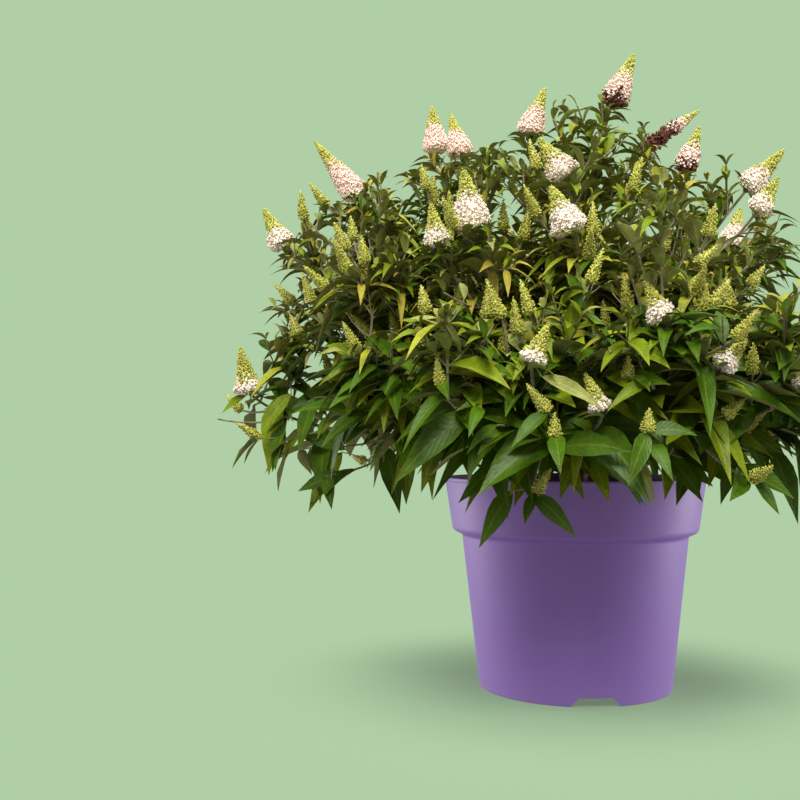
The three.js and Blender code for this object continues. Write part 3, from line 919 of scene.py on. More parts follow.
def in_reach(point, roofed=True):
    """In the dome, under its roof and within the model's own box, give or take a few millimetres."""
    inside = all(
        low / MM - REACH_MARGIN < value < high / MM + REACH_MARGIN
        for low, value, high in zip(cad_low, point, cad_high)
    )
    return inside and in_dome(point) and (under_roof(point) or not roofed)


def in_space(point, index):
    away = point - HEART
    own = away.dot(headings[index])
    others = [away.dot(heading) for k, heading in enumerate(headings) if k != index]
    return in_dome(point) and own - max(others) > SPACE_MARGIN


print(f"a dome {2 * DOME['spread']} mm wide under a roof {ROOF['top']} mm high")

# %% [markdown]
# Every twig is kept as a stem: its curve, its radii and its order, 0 for a leader, 1 for a side twig
# and 2 for the finest ones. Side twigs follow the model's rule and seeds, so they end about where the
# model's do. A twig that would leave the space of its mass is tried shorter and then left out. The
# more vigorous ones end in a small spike in bud.

# %% Grow leaders and side twigs
FIRST_SEED = 101
CURVE_STEPS = 40
PAIR_STEP = 20
BARE_NODE = 3  # every third node has no side twig
SUMMIT_HEADING = 0.85  # how far up a heading points from which on a shoot counts as the summit's
LEADER_RADII = (2.2, 1.2)  # at the root and at the tip
PARTNER_RADII = (1.6, 1.1)
SIDE_RADII = (1.3, 0.8)
PARTNER_ROOT = mix(BOUGH_SHARE, 1, 0.3)  # where a shoot forks
PARTNER_BEND = 0.35
PARTNER_SLACK = 0.25
SIDE_TWIG = {"oldest": 104, "youngest": 60, "lean": 53, "lean_scatter": 7, "lift": 0.45, "scatter": 0.15}
SIDE_SCALES = (1, 0.8, 0.6)
BUD_SHARE = 0.6
BUD_LONGEST = 29
BUD_SHORTEST = 20
BUD_GIRTH = 7
BUDS_TOP = 450  # no side twig of the rule carries a small spike higher up


def new_stem(line, radii, order, turn, roofed=True, start=0):
    """A stem from a start share of its line. turn is that of its first pair of leaves, in degrees."""
    root, tip = radii
    stem = {"line": line, "from": start, "root": root, "tip": tip}
    return {**stem, "order": order, "turn": turn, "roofed": roofed}


def side_line(root, axis, turn, lean, reach):
    start = leaning(axis, around(axis, turn), SIDE_TWIG["lean"] + lean)
    middle = root + start * reach / 2
    lifted = (start + UP * SIDE_TWIG["lift"]).normalized()
    return [root, middle, middle + lifted * reach / 2]


def partner_line(root, foot, direction):
    bend = foot - direction * PARTNER_BEND * (foot - root).length
    return [root, bend.lerp(root, PARTNER_SLACK), foot]


def bud_spike(foot, direction, size):
    """A small spike in bud. size is 0 for the longest and 1 for the shortest."""
    return foot, direction, mix(BUD_LONGEST, BUD_SHORTEST, size), BUD_GIRTH, BUDS


stems = []
for index, (name, line) in enumerate(shoots):
    draw = number_stream(FIRST_SEED + index)
    nodes = round(curve_length(line, 0, CURVE_STEPS) * (1 - BOUGH_SHARE) / PAIR_STEP)
    first_turn = draw() * 90
    leader = new_stem(line, LEADER_RADII, 0, first_turn, roofed=False, start=BOUGH_SHARE)
    leader["low"] = 1 - min(max(headings[index].z / SUMMIT_HEADING, 0), 1)
    stems.append(leader)
    for host, bearing, spread, height, spike, girth, tilt, toward, flowering in PARTNERS:
        if host == name:
            foot = outward(bearing) * spread + UP * height
            direction = leaning(UP, outward(toward), tilt)
            fork = partner_line(point_on(line, PARTNER_ROOT), foot, direction)
            stems.append(new_stem(fork, PARTNER_RADII, 1, bearing, roofed=False))
            spikes.append((foot, direction, spike, girth, flowering))
    for k in range(1, nodes - 1):
        if k % BARE_NODE == 0:
            continue
        along = (k + 0.5) / nodes
        turn = first_turn + 90 * k + (0 if draw() < 0.5 else 180)
        reach = mix(SIDE_TWIG["oldest"], SIDE_TWIG["youngest"], along)
        reach *= 1 + scatter(draw, SIDE_TWIG["scatter"])
        weakness = draw()
        lean = scatter(draw, SIDE_TWIG["lean_scatter"])
        share = mix(BOUGH_SHARE, 1, along)
        root, axis = point_on(line, share), direction_on(line, share)
        for scale in SIDE_SCALES:
            twig = side_line(root, axis, turn, lean, reach * scale)
            if all(in_space(point_on(twig, t), index) for t in (0.5, 0.75, 1)) and under_roof(twig[-1]):
                stems.append(new_stem(twig, SIDE_RADII, 1, turn * 2.4))
                if weakness < BUD_SHARE and twig[-1].z < BUDS_TOP:
                    upward = (direction_on(twig, 1) + UP * 0.5).normalized()
                    spikes.append(bud_spike(twig[-1], upward, weakness))
                break
for bearing, spread, height, spike, tilt, toward in FRONT_BUDS:
    foot = outward(bearing) * spread + UP * height
    index = max(range(len(headings)), key=lambda k: (foot - HEART).dot(headings[k]))
    direction = leaning(UP, outward(toward), tilt)
    fork = partner_line(point_on(shoots[index][1], PARTNER_ROOT), foot, direction)
    stems.append(new_stem(fork, SIDE_RADII, 1, bearing * 3))
    spikes.append((foot, direction, spike, BUD_GIRTH, BUDS))
print(f"{len(stems)} leaders and side twigs, {len(spikes)} flower spikes")

# %% [markdown]
# The finer growth is what makes a real bush dense. It must not hide the flowers, so every spike keeps
# a space free of twigs and leaves: round its axis, and from there towards the camera. The crown's
# lower edge is a wavy line that rises outwards, and nothing grows into the pot.

# %% Keep the spikes in view and the pot clear
LOWER_EDGE = 198  # how high the crown's lower edge is next to the pot
EDGE_RISE = 0.6  # how steeply that edge rises outwards
EDGE_WAVES = ((9, 13), (23, 8))  # how many waves there are round the crown, and how high they are
LEAF_ROOM = 13  # how far inside the reach a twig ends
POT_ROOM = 2
VIEW_FROM = 0.12  # leaves may cover a spike below this share of its length
VIEW_TO = 1.1
VIEW_MARGIN = 3
BUD_VIEW = 70  # how far a small spike's free space reaches towards the camera
LARGE_VIEW = 170


def clear_of_pot(point):
    radius = math.hypot(point.x, point.y)
    if point.z > POT_HEIGHT + POT_ROOM:
        return True
    outside = POT_RIM if point.z > collar_low - STEP else SHOULDER
    return radius > outside + POT_ROOM


def lower_edge(point):
    """The wavy height down to which twigs and leaves close the crown."""
    bearing = math.atan2(point.y, point.x)
    edge = LOWER_EDGE + max(0, math.hypot(point.x, point.y) - POT_RIM) * EDGE_RISE
    for count, size in EDGE_WAVES:
        edge += math.sin(bearing * count) * size
    return edge


def open_view(foot, direction, length, girth, flowering):
    """The foot, direction, axis as seen, radius and reach of the space that a spike keeps free."""
    toward = (EYE / MM - foot).normalized()
    axis = direction * length
    axis -= toward * axis.dot(toward)
    return foot, toward, axis, girth + VIEW_MARGIN, BUD_VIEW if flowering == BUDS else LARGE_VIEW


open_views = [open_view(*spike) for spike in spikes]


def hides_a_spike(point):
    for foot, toward, axis, radius, reach in open_views:
        away = point - foot
        ahead = away.dot(toward)
        if -radius < ahead < reach:
            away -= toward * ahead
            up_share = away.dot(axis) / axis.length_squared
            narrowed = radius * (VIEW_TO - 0.5 * up_share)
            if VIEW_FROM < up_share < VIEW_TO and (away - axis * up_share).length < narrowed:
                return True
    return False


def fits_a_twig(point, roofed=True):
    """Above the lower edge, clear of the pot and the views, with room for a leaf beyond the tip."""
    beyond = point + Vector((point.x, point.y, 0)).normalized() * LEAF_ROOM
    inside = in_reach(beyond, roofed) and point.z > lower_edge(point)
    return inside and clear_of_pot(point) and not hides_a_spike(point)


def stem_length(stem):
    return curve_length(stem["line"], stem["from"], 12)


print(f"{len(open_views)} spikes are kept in view")

# %% [markdown]
# Two kinds of shoots fill the crown out to its flanks. One kind stands in pairs in the leaf axils of
# every leader, between the side twigs of the model. The other kind rises straight from the low leaders,
# which lean far out, and closes the crown above them. Some of both end in a small spike.

# %% Fill the crown with more shoots
INFILL = {"oldest": 96, "youngest": 74, "every": 26, "chance": 0.75, "lean_scatter": 15, "bud": 0.22}
UPRIGHT = {"longest": 96, "shortest": 54, "lean": 30, "every": 27, "low": 0.3, "bud": 0.2, "lift": 0.3}
INFILL_SIZES = (0.7, 1.1)
INFILL_RADII = (1.1, 0.7)
BUDS_BELOW = 400  # shoots in the axils end in a small spike up to this height
FINE_SEED = 300

draw = number_stream(FINE_SEED)
leaders = [stem for stem in stems if stem["order"] == 0]
for stem in leaders:
    count = int(stem_length(stem) / INFILL["every"])
    for k in range(count):
        for side in (0, 180):
            chance, lean, size = draw(), scatter(draw, INFILL["lean_scatter"]), draw()
            if chance > INFILL["chance"]:
                continue
            along = (k + 0.5) / count
            share = mix(stem["from"], 1, along)
            root, axis = point_on(stem["line"], share), direction_on(stem["line"], share)
            turn = stem["turn"] + 45 + 90 * k + side
            reach = mix(INFILL["oldest"], INFILL["youngest"], along) * mix(*INFILL_SIZES, size)
            for scale in SIDE_SCALES:
                line = side_line(root, axis, turn, lean, reach * scale)
                if all(fits_a_twig(point) for point in line[1:]):
                    stems.append(new_stem(line, INFILL_RADII, 1, turn * 1.3))
                    if size < INFILL["bud"] and line[-1].z < BUDS_BELOW:
                        upward = (direction_on(line, 1) + UP * 0.6).normalized()
                        spikes.append(bud_spike(line[-1], upward, size))
                        open_views.append(open_view(*spikes[-1]))
                    break
for stem in [stem for stem in leaders if stem["low"] > UPRIGHT["low"]]:
    count = int(stem_length(stem) / UPRIGHT["every"])
    for k in range(1, count):
        side, lean, size, has_bud = outward(draw() * 360), draw(), draw(), draw() < UPRIGHT["bud"]
        root = point_on(stem["line"], mix(stem["from"], 1, (k + 0.5) / count))
        start = leaning(UP, side, UPRIGHT["lean"] * lean)
        for scale in SIDE_SCALES:
            reach = mix(UPRIGHT["longest"], UPRIGHT["shortest"], size) * scale
            middle = root + start * reach / 2
            line = [root, middle, middle + (start + UP * UPRIGHT["lift"]).normalized() * reach / 2]
            if all(fits_a_twig(point) for point in line[1:]):
                stems.append(new_stem(line, INFILL_RADII, 1, lean * 360))
                if has_bud:
                    spikes.append(bud_spike(line[-1], direction_on(line, 1), size))
                    open_views.append(open_view(*spikes[-1]))
                break
print(f"{len(stems)} stems now, {len(spikes)} flower spikes")

# %% [markdown]
# The finest twigs stand at every few nodes on all of that, in pairs with some missing. Near the end of
# a shoot with a large spike they may rise above the roof, so the spike stands on a tuft of leaves.

# %% Grow the finest twigs
FINE = {
    "oldest": 46, "youngest": 22, "lean": 48, "every": 15, "chance": 0.62,
    "lean_scatter": 12, "lift": 0.35,
}
FINE_SIZES = (0.55, 1.1)
FINE_RADII = (0.8, 0.5)
FINE_BEND = 0.55
TUFT_FROM = 0.7

fine_stems = []
for stem in stems:
    count = int(stem_length(stem) / FINE["every"])
    for k in range(count):
        for side in (0, 180):
            chance, lean, size = draw(), scatter(draw, FINE["lean_scatter"]), draw()
            if chance > FINE["chance"] or (k == 0 and stem["order"]):
                continue
            along = (k + 0.4) / count
            share = mix(stem["from"], 1, along)
            root, axis = point_on(stem["line"], share), direction_on(stem["line"], share)
            turn = stem["turn"] + 90 * k + side + 20
            start = leaning(axis, around(axis, turn), FINE["lean"] + lean)
            reach = mix(FINE["oldest"], FINE["youngest"], along) * mix(*FINE_SIZES, size)
            end = root + (start + UP * FINE["lift"]).normalized() * reach
            line = [root, root + start * reach * FINE_BEND, end]
            roofed = stem["roofed"] or along < TUFT_FROM
            if fits_a_twig(end, roofed) and clear_of_pot(line[1]):
                fine_stems.append(new_stem(line, FINE_RADII, 2, turn * 1.7, roofed))
stems += fine_stems
print(f"{len(fine_stems)} fine twigs")

# %% [markdown]
# A few long leaves hang over the rim and at the crown's lower edge, and one pale young one lies across
# the front. They give the bush its fringe, so their places are listed, each by the leaf's root and its
# tip, and a short twig reaches out to each of them from the nearest stem.

# %% Reach out to the hanging leaves
HANGING_LEAVES = {
    # root and tip
    "deep": [
        ((-45, -170, 179), (-69, -182, 137)),
        ((-30, -174, 176), (2, -182, 146)),
        ((35, -150, 207), (49, -163, 168)),
        ((91, -104, 200), (78, -124, 166)),
        ((131, -60, 204), (118, -70, 164)),
        ((164, -40, 210), (180, -60, 148)),
        ((-200, -42, 208), (-240, -52, 220)),
        ((-161, -60, 212), (-146, -72, 154)),
        ((-55, -150, 198), (-86, -166, 169)),
        ((72, -128, 204), (96, -140, 170)),
        ((-257, -40, 231), (-264, -52, 188)),
        ((-224, -60, 254), (-234, -75, 205)),
        ((23, -158, 208), (46, -176, 177)),
        ((107, -85, 214), (121, -100, 177)),
        ((91, -100, 205), (96, -118, 173)),
    ],
    "green": [
        ((-203, -40, 206), (-229, -60, 153)),
        ((-142, -60, 220), (-142, -62, 161)),
        ((-266, -30, 256), (-270, -42, 185)),
        ((-108, -100, 216), (-122, -112, 174)),
        ((-12, -158, 206), (8, -172, 172)),
        ((-28, -150, 204), (-44, -168, 166)),
        ((14, -160, 202), (26, -176, 170)),
        ((-247, -50, 258), (-271, -60, 225)),
        ((-298, -22, 258), (-320, -26, 241)),
        ((-247, -20, 226), (-259, -30, 197)),
        ((73, -118, 200), (68, -140, 171)),
        ((1, -165, 200), (-10, -178, 173)),
    ],
    "felted": [
        ((47, -150, 202), (59, -167, 169)),
        ((-21, -236, 260), (21, -244, 236)),
    ],
}
HOLDER_FALL = 10  # how far a holding twig may fall to its leaf
HOLDER_ARCH = 2

spots = [point_on(stem["line"], mix(stem["from"], 1, k / 6)) for stem in stems for k in range(1, 7)]
holders = []
for root, tip in [pair for pairs in HANGING_LEAVES.values() for pair in pairs]:
    root = Vector(root)
    near_spots = (spot for spot in spots if spot.z > root.z - HOLDER_FALL)
    start = min(near_spots, key=lambda spot: (spot - root).length)
    holders.append(new_stem([start, start.lerp(root, 0.5) + UP * HOLDER_ARCH, root], FINE_RADII, 2, 0))
longest = max(stem_length(stem) for stem in holders)
print(f"{len(holders)} hanging leaves, the farthest {longest:.0f} mm off")

# %% [markdown]
# Wood is a line with a girth at each point. Geometry Nodes turns the line into a tube and lifts its
# skin along the normals by a noise that is drawn out along the stem: flat ridges with narrow grooves
# on old bark, and almost nothing on the young twigs. The relief is real geometry, so it also shows
# along the outline.

# %% Build the tree that clothes a line in bark
tree, given, finish_tree = new_tree(
    "bark round a line", Sides=6, Relief=0.0002, Grain=300.0, Finish="finish"
)
bark_tree = tree
curve = geometry_node(tree, "GeometryNodeMeshToCurve", {"Mesh": given["Geometry"]})
inputs = {"Resolution": given["Sides"], "Radius": 1.0}
ring = geometry_node(tree, "GeometryNodeCurvePrimitiveCircle", inputs)
inputs = {"Curve": curve, "Profile Curve": ring, "Scale": named(tree, "girth"), "Fill Caps": True}
tube = geometry_node(tree, "GeometryNodeCurveToMesh", inputs)
x, y, z = geometry_node(tree, "GeometryNodeInputPosition", {}).parts()
ridges = noise(tree, vector_of(tree, x, y, z * 0.35), given["Grain"], 3.0)
normal = geometry_node(tree, "GeometryNodeInputNormal", {})
lift = normal * ((ridges - 0.5) * given["Relief"] * 2)
tube = geometry_node(tree, "GeometryNodeSetPosition", {"Geometry": tube, "Offset": lift})
tube = geometry_node(tree, "GeometryNodeSetShadeSmooth", {"Geometry": tube})
real = geometry_node(tree, "GeometryNodeRealizeInstances", {0: tube})
inputs = {"Geometry": real, "Material": given["Finish"]}
finish_tree(geometry_node(tree, "GeometryNodeSetMaterial", inputs))


def line_mesh(name, lines):
    """One mesh of separate lines from lists of (point in millimetres, radius in millimetres)."""
    vertices = []
    edges = []
    girths = []
    for line in lines:
        edges += [(len(vertices) + k, len(vertices) + k + 1) for k in range(len(line) - 1)]
        vertices += [point * MM for point, radius in line]
        girths += [radius * MM for point, radius in line]
    mesh = bpy.data.meshes.new(name)
    mesh.from_pydata(vertices, edges, [])
    mesh.attributes.new("girth", "FLOAT", "POINT").data.foreach_set("value", girths)
    return mesh


def stem_points(stem, step, end=1):
    count = max(3, round(stem_length(stem) / step))
    points = []
    for k in range(count + 1):
        point = point_on(stem["line"], mix(stem["from"], end, k / count))
        points.append((point, mix(stem["root"], stem["tip"], k / count)))
    return points


print("the bark tree is ready")

# %% [markdown]
# The stool is the short stump that years of pruning have left: a root flare, a waist and a knuckled
# head. It is turned from a profile, and its surface is then pushed in and out, in folds that run up
# the wood and in knuckles between the boughs. The bark is tan and grey, with thin strips that peel.

# %% Make the bark of the stool and the boughs
tan_bark = new_finish("tan_bark", linear(134, 113, 88), 0.85)
tree = tan_bark.node_tree
x, y, z = object_place(tree).parts()
strips = noise(tree, vector_of(tree, x, y, z * 0.25), 700, 4, 0.6)
color = mixed(tree, strips.step(0.35, 0.65), linear(86, 70, 52), linear(158, 138, 110))
paint(tan_bark, color, height=strips, depth=0.0006)

STOOL_PROFILE = [
    # radius and height above the mix
    (22, 0), (19.5, 1.2), (17, 2.6), (15.5, 3.7), (13.6, 6.5), (12.4, 9.5), (12, 12.2), (12.3, 15),
    (13.4, 19), (14.6, 22), (15, 24), (14.7, 27), (13.5, 30.3), (11, 33), (7.5, 35.2), (4, 36.6),
]
STOOL_SIDES = 64
STOOL_CORNER = 0.6
STOOL_SLACK = 0.4  # how far the skin lies inside the profile before it is folded
FOLDED_FROM = 8  # folds are at full depth from this radius outwards


def fold(angle, height):
    """How far the stool's skin stands out, in millimetres: folds that run up, and knuckles."""
    folds = math.sin(7 * angle + 0.05 * height) * 0.5 + math.sin(13 * angle - 0.09 * height + 1) * 0.3
    return folds + math.sin(5 * angle + 2) * math.sin(height * 0.33) * 0.6


stool_profile = [(0, STOOL_FOOT, STOOL_CORNER)]
stool_profile += [(radius, height + STOOL_FOOT, STOOL_CORNER) for radius, height in STOOL_PROFILE]
stool_profile.append((0, STOOL_FOOT + STOOL_TALL, 0))
stool_mesh = turned_mesh("stool_bark", softened(stool_profile), STOOL_SIDES)
for vertex in stool_mesh.vertices:
    radius = math.hypot(vertex.co.x, vertex.co.y)
    height = vertex.co.z / MM - STOOL_FOOT
    if radius > 1 * MM and 0.5 < height:
        push = fold(math.atan2(vertex.co.y, vertex.co.x), height) * MM
        push = push * min(1, radius / (FOLDED_FROM * MM)) - STOOL_SLACK * MM
        vertex.co.x *= 1 + push / radius
        vertex.co.y *= 1 + push / radius
outward_faces(stool_mesh)
stool_mesh.shade_smooth()
stool_mesh.materials.append(tan_bark)
place_piece("stool_bark", stool_mesh, "bark", "stool")

# %% Clothe the boughs
BOUGH_RADII = (3.1, 2.2)
BOUGH_OVERLAP = 0.02  # how far a bough's bark runs on over its leader, as a share of the line

boughs = [new_stem(line, BOUGH_RADII, 0, 0) for name, line in shoots]
bough_lines = line_mesh(
    "bough_lines", [stem_points(bough, 5, end=BOUGH_SHARE + BOUGH_OVERLAP) for bough in boughs]
)
grain = {"Sides": 12, "Relief": 0.0003, "Grain": 420.0}
bough_mesh = grown("boughs", bark_tree, bough_lines, Finish=tan_bark, **grain)
place_piece("bough_bark", bough_mesh, "bark", *[f"bough_{name}" for name, line in shoots])

# %% [markdown]
# This year's growth is square in section and covered in pale felt when young, and turns tan as it
# ages. At this size a round tube with a thin felt is enough. Leaders and side twigs are one piece, and
# the finest twigs another.

# %% Clothe the leaders and the twigs
pale_felt = new_finish("pale_felt", linear(140, 132, 92), 0.8, Sheen_Weight=0.25)
tree = pale_felt.node_tree
blotches = noise(tree, object_place(tree), 160, 3)
color = mixed(tree, blotches.step(0.4, 0.65), linear(112, 102, 68), linear(148, 138, 98))
paint(pale_felt, color, height=noise(tree, object_place(tree), 2400, 2), depth=0.0002)

leader_lines = line_mesh("twig_lines", [stem_points(stem, 9) for stem in stems if stem["order"] < 2])
grain = {"Sides": 6, "Relief": 0.00012, "Grain": 500.0}
leader_mesh = grown("twigs", bark_tree, leader_lines, Finish=pale_felt, **grain)
mass_names = [f"mass_{name}" for name, line in shoots]
place_piece("leaders_and_side_twigs", leader_mesh, "bark", *mass_names)

fine_lines = line_mesh("fine_twig_lines", [stem_points(stem, 12) for stem in fine_stems + holders])
grain = {"Sides": 5, "Relief": 0.00006, "Grain": 500.0}
fine_mesh = grown("fine_twigs", bark_tree, fine_lines, Finish=pale_felt, **grain)
place_piece("finest_twigs", fine_mesh, "bark", *mass_names)

# %% [markdown]
# A leaf of the butterfly bush is a slim lance: widest before its middle, drawn out to a long tip,
# folded along its midrib, green above and pale with felt below. Leaves stand in pairs, and each pair is
# a quarter turn round the stem from the one before. Each leaf gets a seat: where it grows, its
# direction, its sizes and its colour.
#
# Low leaves are the old ones. They are large and broad, hang, turn level and towards the light, and
# some have been shed. The leaves of the upper half are small and narrow, stand out and curve back.

# %% Say how leaves grow
LEAF_LOW = {"oldest": 76, "youngest": 36, "spread": 62, "droop": 0.6, "width": 0.36}
LEAF_HIGH = {"oldest": 47, "youngest": 24, "spread": 50, "droop": 1.1, "width": 0.24}
LEAF_SCATTER = {"turn": 15, "spread": 10, "size": 0.2, "width": 0.15, "droop": 0.35, "twist": 0.6}
LEAF_FOLDS = (0.25, 0.75)
LOW_GROWTH = (225, 335)  # all growth below the first height has low leaves, none above the second
LEAF_STEP = (17, 16, 13)  # from pair to pair, by the order of the stem
LEAF_SIZE = (1, 1, 0.78)
LEAF_FIRST = 0.05  # how far up a stem its first pair stands
SPREAD_BY_AGE = (1.08, 0.7)  # old leaves spread wide, young ones less
LEAF_SCALES = (1, 0.8)
LEAF_LOWEST = 158  # only the leaves of the fringe end lower
LEAF_HANG = 25  # how far a leaf may hang below its own root, even on the lowest twigs
HEM = 5  # the higher, the fewer leaves hang far below the crown's lower edge
HANGING_SHARE = 0.03
HANGING_DROOP = 0.8
LEVEL_SHARE = 0.6  # how far low leaves turn level
LOW_THINNING = 0.34  # the share of low leaves that have been shed
LOW_SCATTER = 0.4  # how far low leaves turn from the direction of their twig
LOW_FALL = (-0.3, -0.9)  # how far low leaves point down
HIGH_RISE = 0.3  # how far high ones point up
LIGHT_SIDE = Vector((0, -1, 0))  # the brightest light comes from the front, and low leaves turn to it
FACING = {"axis": 0.4, "out": 0.6, "light": 0.8, "chance": 0.6}  # what a leaf's upper side turns to
TINTS = ("deep", "green", "bright", "bronzed", "felted")
FELTED_SHARE = 0.4  # of the youngest leaves of a twig, except on low growth
LEAF_SEED = 700


def lowness(height):
    """1 for the old growth at the foot of the crown, 0 for its upper half."""
    return min(max((LOW_GROWTH[1] - height) / (LOW_GROWTH[1] - LOW_GROWTH[0]), 0), 1)


def by_height(key, low):
    return mix(LEAF_HIGH[key], LEAF_LOW[key], low)


def spray_tint(draw, low):
    """The colour of all leaves on one twig: deep green below, more bright and bronzed ones above. The
    deeper green of low growth is partly the old leaves' own colour and partly painted shade of the crown's
    foot.
    """
    # low growth gets more deep green leaves: partly their own older colour, partly painted shade of the
    # lower crown
    chance = draw() + low * 0.55 - 0.1
    if chance < 0.06:
        return TINTS.index("bronzed")
    if chance < 0.26:
        return TINTS.index("bright")
    return TINTS.index("green") if chance < 0.66 else TINTS.index("deep")


def outward_from_axis(point):
    return Vector((point.x, point.y, 0)).normalized()


def blade_fits(seat, scale, lowest, roofed):
    for share in (0.2, 0.5, 0.75, 1):
        reach = seat["length"] * scale * share
        point = seat["root"] + seat["direction"] * reach - UP * seat["droop"] * reach * share / 2
        if point.z < lowest or not in_reach(point, roofed):
            return False
        if not clear_of_pot(point) or hides_a_spike(point):
            return False
    return True


print("the rule of the leaves is ready")

# %% Seat leaves along the stems
seats = []
draw = number_stream(LEAF_SEED)
for stem in stems:
    order = stem["order"]
    count = max(2, round(stem_length(stem) / LEAF_STEP[order]))
    spray = spray_tint(draw, lowness(point_on(stem["line"], 0.6).z))
    for k in range(count + 1):
        age = k / count
        share = mix(stem["from"], 1, LEAF_FIRST + (1 - LEAF_FIRST) * age)
        root, axis = point_on(stem["line"], share), direction_on(stem["line"], share)
        low = lowness(root.z)
        for side in (0, 180):
            turn = stem["turn"] + 90 * k + side + scatter(draw, LEAF_SCATTER["turn"])
            strewn = outward(draw() * 360) * LOW_SCATTER * low
            if draw() < LOW_THINNING * low:
                continue
            spread = by_height("spread", low) * mix(*SPREAD_BY_AGE, age)
            spread += scatter(draw, LEAF_SCATTER["spread"])
            side = around(axis, turn)
            side.z *= 1 - LEVEL_SHARE * low
            direction = leaning(axis, side.normalized(), spread)
            lowest = mix(min(lower_edge(root), root.z - LEAF_HANG), LEAF_LOWEST, draw() ** HEM)
            hanging = low > 0.6 and draw() < HANGING_SHARE
            felted = draw() < FELTED_SHARE and age > 0.7 and order > 0 and low < 0.6
            typical = mix(by_height("oldest", low), by_height("youngest", low), age**1.5)
            size = typical * LEAF_SIZE[order] * (1 + scatter(draw, LEAF_SCATTER["size"]))
            turned = outward_from_axis(root) * FACING["out"] + LIGHT_SIDE * FACING["light"]
            turned += outward(draw() * 360) * FACING["chance"]
            facing = UP + axis * FACING["axis"] + turned * low
            lift = UP * mix(HIGH_RISE, mix(*LOW_FALL, draw()), low)
            direction = (direction + strewn + lift).normalized()
            width = size * by_height("width", low) * (1 + scatter(draw, LEAF_SCATTER["width"]))
            droop = by_height("droop", low) + scatter(draw, LEAF_SCATTER["droop"])
            seat = {
                "root": root,
                "direction": direction,
                "sideways": facing.cross(direction).normalized(),
                "length": size,
                "droop": droop + hanging * HANGING_DROOP,
                "twist": scatter(draw, LEAF_SCATTER["twist"]),
                "fold": mix(*LEAF_FOLDS, draw()),
                "tint": TINTS.index("felted") if felted else spray,
            }
            for scale in LEAF_SCALES:
                if blade_fits(seat, scale, LEAF_LOWEST if hanging else lowest, stem["roofed"]):
                    seats.append({**seat, "length": size * scale, "width": width * scale})
                    break
print(f"{len(seats)} leaves along the stems")

# %% [markdown]
# Two kinds of leaves have seats of their own: the small ones in a collar right under each large spike,
# each turned by about the golden angle from the last, and the long hanging ones of the fringe.

# %% Seat the collars and the hanging leaves
COLLAR = {"leaves": 9, "depth": 18, "spread": 66, "length": 27, "turn": 137, "droop": 1.0, "rise": 0.2}
COLLAR_WIDTH = 0.25
FRINGE_WIDTH = {"felted": 0.22, "green": 0.32, "deep": 0.32}
FRINGE_DROOP = 0.5

for foot, direction, length, girth, flowering in spikes:
    if flowering == BUDS:
        continue
    for k in range(COLLAR["leaves"]):
        root = foot - direction * COLLAR["depth"] * draw()
        turn = COLLAR["turn"] * k + scatter(draw, 20)
        pointing = leaning(direction, around(direction, turn), COLLAR["spread"])
        size = COLLAR["length"] * (1 + scatter(draw, 0.25))
        pointing = (pointing + UP * COLLAR["rise"]).normalized()
        seat = {"root": root, "direction": pointing, "sideways": direction.cross(pointing).normalized()}
        seat |= {"length": size, "width": size * COLLAR_WIDTH}
        seat |= {"droop": COLLAR["droop"] + scatter(draw, 0.4)}
        seat |= {"twist": scatter(draw, LEAF_SCATTER["twist"]), "fold": 0.5}
        if blade_fits(seat, 1, LEAF_LOWEST, False):
            seats.append({**seat, "tint": spray_tint(draw, lowness(root.z))})
for tint, pairs in HANGING_LEAVES.items():
    for root, tip in pairs:
        root, tip = Vector(root), Vector(tip)
        size = (tip - root).length
        direction = (tip - root) / size + UP * FRINGE_DROOP / 2
        facing = outward_from_axis(root) * 0.3 + LIGHT_SIDE + UP * 0.4
        seat = {"root": root, "direction": direction, "sideways": facing.cross(direction).normalized()}
        seat |= {"length": size, "width": size * FRINGE_WIDTH[tint], "droop": FRINGE_DROOP}
        seats.append({**seat, "twist": scatter(draw, 0.5), "fold": 0.4, "tint": TINTS.index(tint)})
print(f"{len(seats)} leaves")

# %% [markdown]
# The blade starts as a chart, a small closed mesh whose x says how far along the leaf a corner is, and
# whose y says how far across. The tree puts one chart on every seat, makes them real, and then moves
# each corner by the leaf's own formula: along its direction, out by the width of a lance, up by the
# fold, and down by the droop, which grows with the square of the distance. Upper and lower sides get
# their own finishes, and the upper one follows the tint of the spray.

# %% Draw the chart of a leaf
CHART_STEPS = (0.06, 0.18, 0.34, 0.52, 0.7, 0.87)


def leaf_chart():
    """Left edge, midrib, right edge and keel at each step, between the foot and the tip."""
    vertices = [(0, 0, 0)]
    for share in CHART_STEPS:
        vertices += [(share, 1, 0), (share, 0, 0), (share, -1, 0), (share, 0, -1)]
    vertices.append((1, 0, 0))
    foot, tip = 0, len(vertices) - 1
    rows = [[foot] * 4] + [list(range(1 + 4 * k, 5 + 4 * k)) for k in range(len(CHART_STEPS))] + [[tip] * 4]
    faces = []
    for low_row, high_row in zip(rows, rows[1:]):
        for a, b in ((0, 1), (1, 2), (2, 3), (3, 0)):
            if a in (0, 2):  # every diagonal starts at the edge below, so both sides bend alike
                pair = ((low_row[b], high_row[b], low_row[a]), (high_row[b], high_row[a], low_row[a]))
            else:
                pair = ((low_row[b], high_row[b], high_row[a]), (low_row[b], high_row[a], low_row[a]))
            faces += [face for face in pair if len(set(face)) == 3]
    mesh = bpy.data.meshes.new("leaf_chart")
    mesh.from_pydata(vertices, [], faces)
    outlines = {
        frozenset((low_row[k], high_row[k])) for low_row, high_row in zip(rows, rows[1:]) for k in (0, 2)
    }
    sharp = mesh.attributes.new("sharp_edge", "BOOLEAN", "EDGE")
    sharp.data.foreach_set("value", [frozenset(edge.vertices) in outlines for edge in mesh.edges])
    chart = mesh.attributes.new("blade", "FLOAT_VECTOR", "POINT")
    chart.data.foreach_set("vector", [value for vertex in vertices for value in vertex])
    return mesh


def shape_object(name, mesh):
    shape = bpy.data.objects.new(name, mesh)
    scene_objects.link(shape)
    return shape


